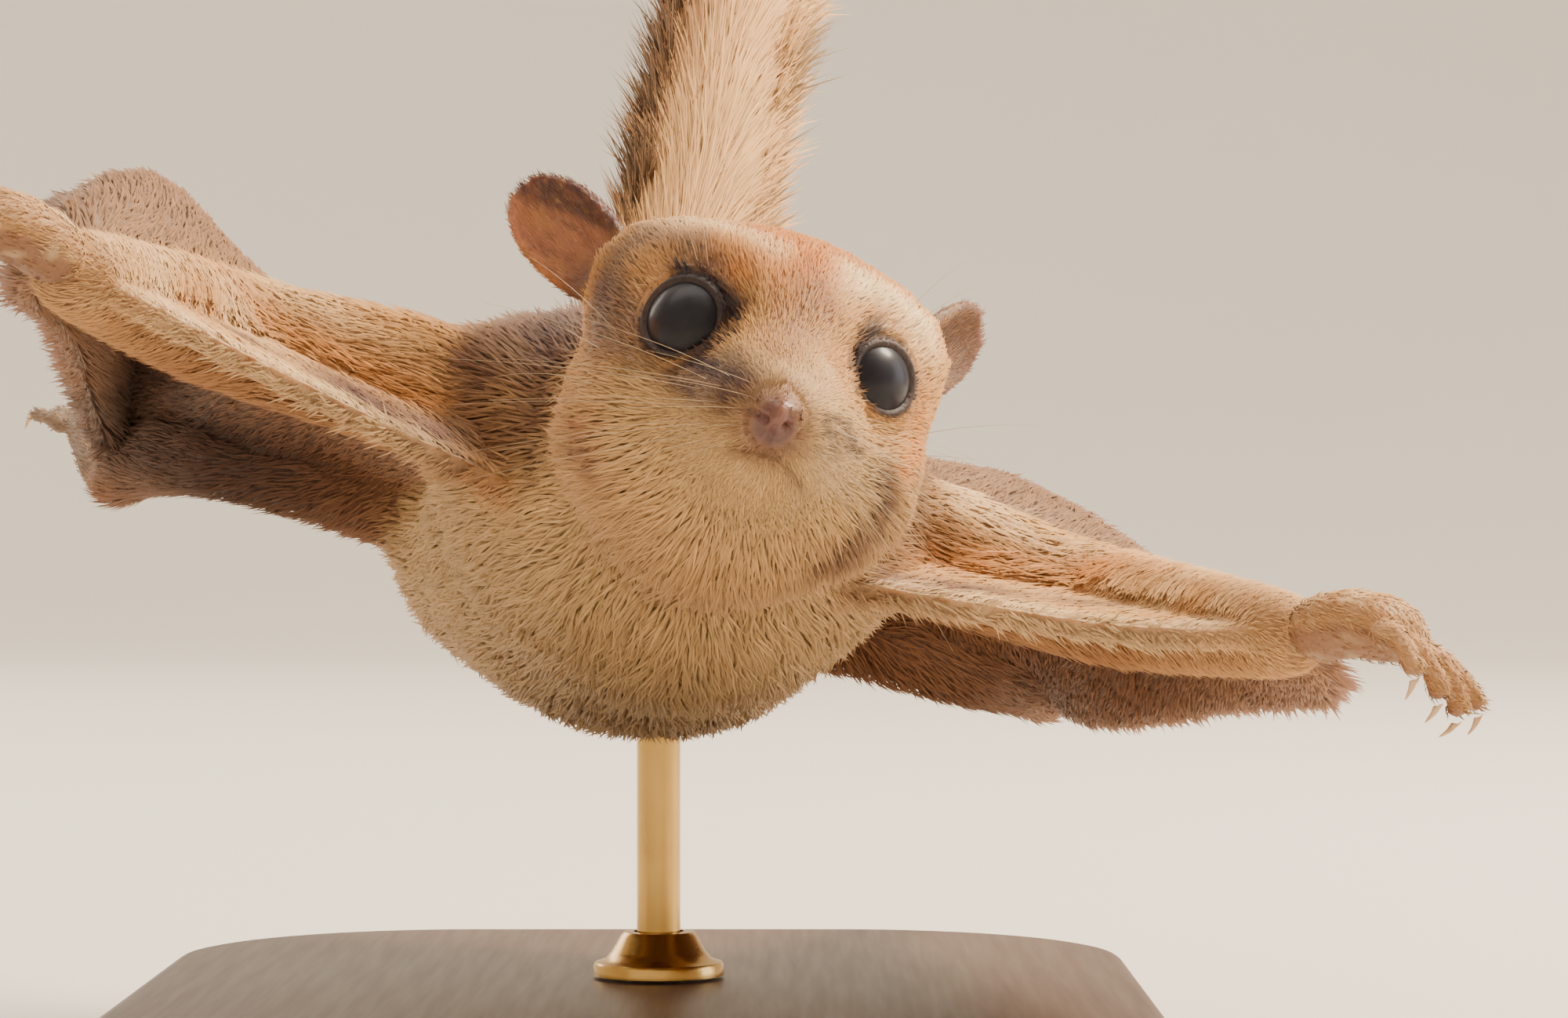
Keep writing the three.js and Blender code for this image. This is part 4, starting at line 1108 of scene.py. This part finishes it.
def headColour(face, wander):
    x, y, z = face.T
    streak = drift(face * (1.6, 0.7, 1.6), 0.75, 6)
    colour = np.tile(paint["tan"], (len(face), 1))
    low = 1 - soft(z + 0.25 * y + 1.2 * wander, -6.5, -1.0)
    colour = towards(colour, "cream", 0.9 * low)
    colour = towards(colour, "armUnder", 0.45 * low * soft(y, -8, -2))
    top = soft(z + 0.3 * y + 1.5 * wander, 2.0, 7)
    colour = towards(colour, "crown", 0.75 * top * bump(x, 0.5, 9))
    # Markings, with painted highlights on the crown and painted shade along the jaws, behind the right ear
    # and under the right eye
    colour = marked(colour, face, headMarksAndLight, 1 + 0.35 * streak)
    for name in sides:
        _, distance, past, turn = aroundEye(face, name)
        thick = 9 + 6 * np.maximum(0, np.cos(turn - (2.4 if name == "left" else 0.7)))
        ring = (1 - soft(past + 3 * wander, 1.5, thick)) * (distance < 7.5)
        colour = towards(colour, "eyeDark", 0.95 * ring)
    middle = np.array(nose["tip"]) + (0, 0.4, -0.5)
    pad = near(face, middle, (2.1, 2.2, 2.3))
    colour = towards(colour, "bare", 1.5 * pad)
    # A painted highlight along the ridge of the nose
    colour = towards(colour, "nosePale", 0.8 * bump(x, -0.7, 0.5) * bump(z, -4.1, 1.2) * (y < -15))
    colour = towards(colour, "dark", 0.5 * pad * (1 - soft(z, -6.6, -5.6)))
    off = np.abs(z - mouthHeight(x))
    lip = (1 - soft(off, 0.12, 0.5)) * (y < -9) * (1 - soft(np.abs(x), mouth["half"] - 1.6, mouth["half"]))
    colour = towards(colour, "dark", 0.4 * lip)
    rows = bump(np.mod(z + 0.28 * np.abs(x) + 20, 1.15), 0.57, 0.24)
    sidePad = near(np.abs(face * (1, 0, 0)) + face * (0, 1, 1), (4.3, -14.6, -4.4), (2.2, 2.8, 2.1))
    return towards(colour, "dark", 0.8 * rows * sidePad * soft(drift(face, 0.6, 5), -0.15, 0.3))


# Markings of both arms, given for the left one, whose dark band is partly painted shade; painted shade of the
# shoulders; and painted shade on the hollow side of the membranes
armMarksAndShade = (
    ("tan", ((48, -14, 0), (30, -7.5, -1.2), (16, -7.5, -3)), 3.0, 0.5),
    ("orange", ((38, -5.0, 2.4), (30, -3.6, 0.8), (24.9, -4.2, -0.1), (19.3, -4.6, -1.1)), 2.0, 0.85),
    # The dark band is partly the dark edge of the fur and partly painted shade in the furrow between the arm
    # and the front membrane.
    (
        "dark",
        ((36, -12.8, -2.0), (31, -10.9, -2.5), (26.9, -10.5, -3.1), (21.3, -11.5, -4.4), (17.1, -10.4, -5)),
        1.9,
        0.9,
    ),
)
# Painted shade in the hollows between the neck and the shoulders
shoulderShade = (
    ("dark", ((-27, -9, -2.5), (-21, -9, -3), (-17, -8, -3), (-15, -9, -2)), 3.4, 0.85),
    ("dark", ((-11.5, -6.3, 8), (-11, -10.1, 4.1), (-10.6, -12, 0)), 2.3, 0.85),
    ("dark", ((-15.1, -7.2, 1.9), (-16.6, -5.6, 3)), 2.2, 0.8),
    ("dark", ((-10.8, -10.1, -1.9), (-9.5, -11, -4)), 1.4, 0.6),
    ("dark", ((18, -8.5, 0), (21.9, -4.5, 1.2)), 2.6, 0.5),
)
# Painted shade inside the hollow under the membranes, where the light does not reach
webShade = (
    ("pocket", ((-48.7, 53, 3.4), (-40.4, 51.2, 1.1), (-32.6, 50.6, -1.9)), 8.0, 0.85),
    ("pocket", ((-48.1, 68.1, -1.9), (-42.8, 58, -3.3), (-38, 52.2, -4.2)), 7.0, 0.85),
    ("pocket", ((48, 60, 0), (40, 54, -2)), 7.0, 0.5),
)


def bodyColour(surface, wander):
    points, normals = surface.points, surface.smoothNormals
    x, y, z = points.T
    above = soft(normals[:, 2] + 0.3 * wander, -0.2, 0.5)
    base = mix(paint["cream"], paint["back"], above[:, None])
    base = towards(base, "greyBrown", 0.6 * above * soft(drift(points, 7, 3), -0.2, 0.9))
    arm = mix(paint["armUnder"], paint["tan"], soft(normals[:, 2] + 0.3 * wander, -0.4, 0.3)[:, None])
    arm = towards(arm, "pale", 0.6 * above * soft(drift(points, 6, 18), -0.5, 0.5))
    arm = towards(arm, "orange", 0.6 * soft(drift(points, 5, 8), 0, 0.8) * above)
    web = mix(paint["web"], paint["back"], above[:, None])
    web = towards(web, "rust", 0.2 * (1 - above) * soft(drift(points * (1, 0.4, 1), 5, 9), -0.3, 0.8))
    vary = 1 + 0.3 * wander
    # Painted shade in the membranes' hollow, on their underside
    web = marked(web, points, webShade, (1 - above) * vary)
    paw, foot = (np.tile(paint[name], (len(points), 1)) for name in ("paw", "foot"))
    paw = towards(paw, "bare", 0.6 * (1 - soft(normals[:, 2], -0.6, -0.2)))
    paw = towards(paw, "pale", 0.5 * soft(drift(points, 1.4, 31), 0.1, 0.8))
    colours = {
        "neck": base, "torso": base, "foreleg": arm, "frontMembrane": arm, "membrane": web, "hindLeg": web,
        "forepaw": paw, "hindFoot": foot,
    }
    reach = np.abs(x)
    mirrored = np.abs(points * (1, 0, 0)) + points * (0, 1, 1)
    wrist = soft(reach + wander, 38, 50)
    for name in ("foreleg", "frontMembrane", "neck"):
        colours[name] = marked(colours[name], mirrored, armMarksAndShade, vary)
        ahead = y - np.interp(reach, (9, 24, 38, 50), (-10, -15.5, -21.5, -28))
        colours[name] = towards(colours[name], "pale", 0.6 * bump(ahead, 0.4, 1.3) * soft(reach, 12, 20))
    for name in ("foreleg", "frontMembrane"):
        colours[name] = towards(colours[name], "paw", 0.9 * wrist)
    # Painted shade between the neck and the shoulders
    for name in ("neck", "torso", "foreleg", "frontMembrane"):
        colours[name] = marked(colours[name], points, shoulderShade, vary)
    return colours


def tailColour(surface, wander):
    points = surface.points
    colour = np.tile(paint["peach"], (len(points), 1))
    high = soft(points[:, 2] + 4 * wander, 62, 84)
    colour = towards(colour, "orange", 0.8 * high)
    colour = towards(colour, "rust", 0.45 * high * bump(points[:, 0], -1, 3))
    # The rust along the right edge is partly the tail's darker fringe and partly painted shade on the side
    # away from the key light.
    return towards(colour, "rust", 0.55 * soft(-points[:, 0] + 0.6 * wander, 0.6, 3.4))


def alongEar(face, name):
    up = unit(np.array(ears[name]["tip"]))
    front = np.array(ears[name]["open"])
    front = unit(front - up * np.dot(front, up))
    away = face - np.array(ears[name]["root"])
    return away @ up, away @ np.cross(up, front), away @ front


def earColour(surface, wander):
    colour = np.tile(paint["earBrown"], (len(surface.points), 1))
    mottle = drift(surface.face, 0.7, 52) + 0.6 * drift(surface.face, 0.35, 53)
    for name, sign in sides.items():
        here = surface.side == sign
        high, across, _ = alongEar(surface.face, name)
        # The right ear is painted red, partly its skin and partly the glow of light shining through it from
        # behind. Its fold and upper margin get painted shade, and its lower rim a painted highlight.
        if name == "right":
            colour = towards(colour, "earRed", 0.95 * here)
            fold = bump(across + 0.25 * (high - 6) + 0.3 * wander, 0.3, 0.2) * soft(high, 2, 4)
            colour = towards(colour, "dark", 0.6 * fold * here)
            margin = soft(across + 0.35 * high + 0.6 * wander, 2.5, 3.7)
            colour = towards(colour, "dark", 0.95 * here * margin)
            rim = soft(-across - 0.2 * high, 1.2, 2.6) * (1 - soft(high, 5, 9))
            colour = towards(colour, "orange", 0.7 * rim * here)
        colour = towards(colour, "rust", 0.6 * soft(mottle, 0.1, 0.6) * here)
        colour = towards(colour, "tan", 0.45 * soft(-mottle, 0.2, 0.8) * here)
        colour = towards(colour, "dark", 0.8 * here * (1 - soft(high + 0.6 * wander, 0.5, 3.4)))
        colour = towards(colour, "pale", 0.4 * here * soft(high + np.abs(across) * 0.5, 10.2, 11.8))
    return colour


def colourCoat(surface):
    wander = 0.6 * drift(surface.points, 4.0, 1) + 0.4 * drift(surface.points, 1.6, 2)
    colours = bodyColour(surface, wander)
    colours["head"] = headColour(surface.face, wander)
    colours["ear"] = earColour(surface, wander)
    colours["tail"] = tailColour(surface, wander)
    surface.colour = sum(surface.share(name)[:, None] * colours[name] for name in regionNames)
    surface.colour *= (1 + 0.12 * wander)[:, None]
    print("coat: colours set")


def paintMesh(mesh, colours):
    layer = mesh.color_attributes.new("coatColour", "FLOAT_COLOR", "POINT")
    rows = np.hstack([np.clip(colours, 0, 1), np.ones((len(colours), 1))])
    layer.data.foreach_set("color", rows.astype(np.float32).ravel())


# How the hair varies over the skin besides its region

def trimCoat(surface):
    face = surface.face
    surface.length, surface.width = surface.look("length"), surface.look("width")
    surface.lift, surface.density = surface.look("lift"), surface.look("density")
    headShare = surface.share("head")
    muzzle = 1 - soft(face[:, 1], -15, -4)
    surface.length *= mix(1, mix(1, 0.55, muzzle), headShare)
    surface.width *= mix(1, mix(1, 0.62, muzzle), headShare)
    surface.density *= mix(1, mix(1, 1.9, muzzle) * (0.6 + 0.4 * (face[:, 1] < 4)), headShare)
    bare = near(face, np.array(nose["tip"]) + (0, 0.2, -0.5), (1.8, 1.9, 1.95)) > 0.42
    for name in sides:
        _, distance, past, _ = aroundEye(face, name)
        close = (distance < eyes["radius"] + 2.2) * headShare
        bare |= (close > 0.4) & (past < 1.5)
        surface.length *= 1 - 0.45 * close * (1 - soft(past, 2, 16))
    surface.density[bare] = 0
    soles = surface.share("forepaw", "hindFoot") * (surface.normals[:, 2] < -0.45)
    surface.density *= 1 - 0.85 * soles
    flat = np.abs(surface.normals[:, 2])
    web = surface.share("membrane", "frontMembrane")
    edge = web * (1 - soft(flat, 0.25, 0.6)) * (np.abs(surface.points[:, 0]) > 14)
    surface.length *= 1 + 0.25 * edge
    surface.density *= 1 + 1.0 * edge
    surface.way = unit(surface.way + 0.7 * edge[:, None] * surface.normals)
    chest = surface.share("neck", "torso") * (surface.points[:, 1] < 0) * (surface.points[:, 2] < 4)
    jowl = headShare * (1 - soft(face[:, 2], -9, -4)) * soft(face[:, 1], -12, -5)
    surface.length *= 1 + 0.2 * chest + 1.3 * jowl
    surface.width *= 1 + 0.35 * jowl
    surface.lift += 8 * jowl
    wrist = surface.share("foreleg", "frontMembrane") * soft(np.abs(surface.points[:, 0]), 34, 47)
    surface.length *= 1 - 0.45 * wrist
    surface.width *= 1 - 0.35 * wrist
    surface.density *= 1 + 0.6 * wrist


# Tufts. Each is a closed blade of five corners: sunk root, three round its widest part, and tip.

tuftCorners = np.array([(0, 2, 1), (0, 3, 2), (0, 1, 3), (4, 1, 2), (4, 2, 3), (4, 3, 1)])
tuftLook = {
    "sunk": 0.25,  # of the root, under the skin
    "widest": 0.38,  # the share of the length
    "ridge": 0.55,
    "sway": 16.0,  # of neighbours together, in degrees
    "stray": 9.0,  # of each tuft on its own
    "tone": 0.096,
    "patch": 0.003,  # on the unwrapped skin
}


class Roots:
    def __init__(self, skin, surface):
        mesh = skin.data
        mesh.calc_loop_triangles()
        count = len(mesh.loop_triangles)
        self.corners = np.empty(count * 3, np.int32)
        loops = np.empty(count * 3, np.int32)
        mesh.loop_triangles.foreach_get("vertices", self.corners)
        mesh.loop_triangles.foreach_get("loops", loops)
        self.corners, loops = self.corners.reshape(-1, 3), loops.reshape(-1, 3)
        flat = np.empty(len(mesh.loops) * 2, np.float32)
        mesh.uv_layers["OFBake"].data.foreach_get("uv", flat)
        self.places = flat.reshape(-1, 2)[loops]
        a, b, c = (surface.points[self.corners[:, k]] for k in range(3))
        self.area = np.linalg.norm(np.cross(b - a, c - a), axis=1) / 2
        self.surface = surface

    def mean(self, values):
        return values[self.corners].mean(axis=1)

    def at(self, values, faces, shares):
        return np.einsum("nk,nk...->n...", shares, values[self.corners[faces]])


def plant(name, roots, chosen, seed, slot):
    surface = roots.surface
    rng = np.random.default_rng(seed)
    weight = roots.area * roots.mean(surface.density) * chosen * 1.0
    total = np.cumsum(weight)
    count = int(total[-1])
    faces = np.searchsorted(total, (np.arange(count) + rng.random(count)) * total[-1] / count)
    faces = np.minimum(faces, len(total) - 1)
    shares = np.sort(rng.random((count, 2)), axis=1)
    shares = np.stack([shares[:, 0], shares[:, 1] - shares[:, 0], 1 - shares[:, 1]], axis=1)
    point, normal = roots.at(surface.points, faces, shares), unit(roots.at(surface.normals, faces, shares))
    way, colour = unit(roots.at(surface.way, faces, shares)), roots.at(surface.colour, faces, shares)
    length = roots.at(surface.length, faces, shares) * rng.uniform(0.65, 1.2, count)
    width = roots.at(surface.width, faces, shares) * rng.uniform(0.75, 1.25, count)
    lift = np.radians(roots.at(surface.lift, faces, shares) * rng.uniform(0.5, 1.5, count))
    stray = tuftLook["stray"] * rng.standard_normal(count)
    sway = np.radians(tuftLook["sway"] * drift(point, 3.2, 11) + stray)
    aside = np.cross(normal, way)
    way = way * np.cos(sway)[:, None] + aside * np.sin(sway)[:, None]
    aside = unit(np.cross(normal, way))
    rise = way * np.cos(lift)[:, None] + normal * np.sin(lift)[:, None]
    settle = way * np.cos(lift * 0.35)[:, None] + normal * np.sin(lift * 0.35)[:, None]
    root = point - normal * tuftLook["sunk"]
    belly = point + rise * (length * tuftLook["widest"])[:, None]
    tip = belly + settle * (length * (1 - tuftLook["widest"]))[:, None]
    half = aside * (width / 2)[:, None]
    high = np.cross(aside, rise) * -(width * tuftLook["ridge"])[:, None]
    corners = np.stack([root, belly - half, belly + half, belly + high, tip], axis=1)
    shine = unit(unit(roots.at(surface.smoothNormals, faces, shares)) + way * 0.15)
    lean = np.stack([shine, shine - 0.55 * aside, shine + 0.55 * aside, shine, shine + 0.2 * way], axis=1)
    tone = 1 + tuftLook["tone"] * rng.standard_normal(count)
    shade = np.stack([0.62 * tone, 0.95 * tone, 0.95 * tone, tone, 1.1 * tone], axis=1)
    spots = np.einsum("nk,nkj->nj", shares, roots.places[faces])
    makeTufts(name, corners, unit(lean), colour[:, None, :] * shade[:, :, None], spots, slot)


def makeTufts(name, corners, lean, colours, spots, slot):
    count = len(corners)
    mesh = bpy.data.meshes.new(name)
    mesh.vertices.add(count * 5)
    writePoints(mesh, toPart(corners.reshape(-1, 3)))
    faces = (tuftCorners[None] + 5 * np.arange(count)[:, None, None]).reshape(-1)
    mesh.loops.add(len(faces))
    mesh.loops.foreach_set("vertex_index", faces.astype(np.int32))
    mesh.polygons.add(count * 6)
    mesh.polygons.foreach_set("loop_start", np.arange(0, count * 18, 3, dtype=np.int32))
    mesh.update(calc_edges=True)
    mesh.polygons.foreach_set("use_smooth", np.ones(count * 6, bool))
    half = tuftLook["patch"] / 2
    offsets = np.array([(0, -half), (-half, 0), (half, 0), (0, 0), (0, half)])
    uv = (spots[:, None, :] + offsets[None]).reshape(-1, 2)[faces]
    mesh.uv_layers.new(name="OFBake").data.foreach_set("uv", uv.astype(np.float32).ravel())
    paintMesh(mesh, colours.reshape(-1, 3))
    mesh.normals_split_custom_set_from_vertices(turned(lean.reshape(-1, 3), animalPlace).astype(np.float32))
    piece = bpy.data.objects.new(name, mesh)
    bpy.context.collection.objects.link(piece)
    mesh.materials.append(fur)
    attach(piece, "root")
    print("coat:", name, count, "tufts")


def unwrap(skin):
    editMesh(skin)
    bpy.ops.uv.smart_project(angle_limit=math.radians(66), island_margin=0.002)
    leaveEdit()
    skin.data.uv_layers.active.name = "OFBake"


def growCoat(skin, surface):
    roots = Roots(skin, surface)
    share = {name: roots.mean(surface.share(name)) for name in regionNames}
    table = np.stack([share[name] for name in regionNames], axis=1)
    winner = np.array(regionNames)[table.argmax(axis=1)]
    left = roots.mean(surface.face)[:, 0] > 0
    under = roots.mean(surface.normals)[:, 2] < 0
    facing = roots.mean(surface.face)[:, 1] < -3
    pieces = (
        ("coatFaceLeft", (winner == "head") & facing & left, "face_fur"),
        ("coatFaceRight", (winner == "head") & facing & ~left, "face_fur"),
        ("coatHead", (winner == "head") & ~facing, "face_fur"),
        ("coatEars", winner == "ear", "face_fur"),
        ("coatNeck", winner == "neck", "back_fur"),
        ("coatBack", (winner == "torso") & ~under, "back_fur"),
        ("coatBelly", (winner == "torso") & under, "back_fur"),
        ("coatForelegs", np.isin(winner, ("foreleg", "frontMembrane")), "back_fur"),
        ("coatPaws", np.isin(winner, ("forepaw", "hindFoot")), "back_fur"),
        ("coatHindLegs", winner == "hindLeg", "back_fur"),
        ("coatMembraneLeft", (winner == "membrane") & left, "membrane_fur"),
        ("coatMembraneRight", (winner == "membrane") & ~left, "membrane_fur"),
        ("coatTail", winner == "tail", "tail_fur"),
    )
    for seed, (name, chosen, slot) in enumerate(pieces):
        plant(name, roots, chosen, seed + 20, slot)


makeCamera()
makeLights()
makeFloor()
makeStand()
line = tailLine()
skin, finder, owners = makeSkin(line)
refine(skin, (0, -17.3, -5.5), (4.2, 3.2, 4.2))
for name in sides:
    refine(skin, eyeMiddle[name], (5.6, 5.6, 5.6))
surface = Surface(skin, finder, owners)
shapeFace(skin, surface)
layCoat(surface, line)
colourCoat(surface)
trimCoat(surface)
paintMesh(skin.data, surface.colour * 0.8)
dressSkin(skin, surface)
unwrap(skin)
print("skin: unwrapped")
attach(skin, "root")
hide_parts(*[node for node in fleshNodes if not node.startswith("eye")], "tail")
makeEyes()
makeClaws()
makeWhiskers(surface)
fur = furFinish()
growCoat(skin, surface)
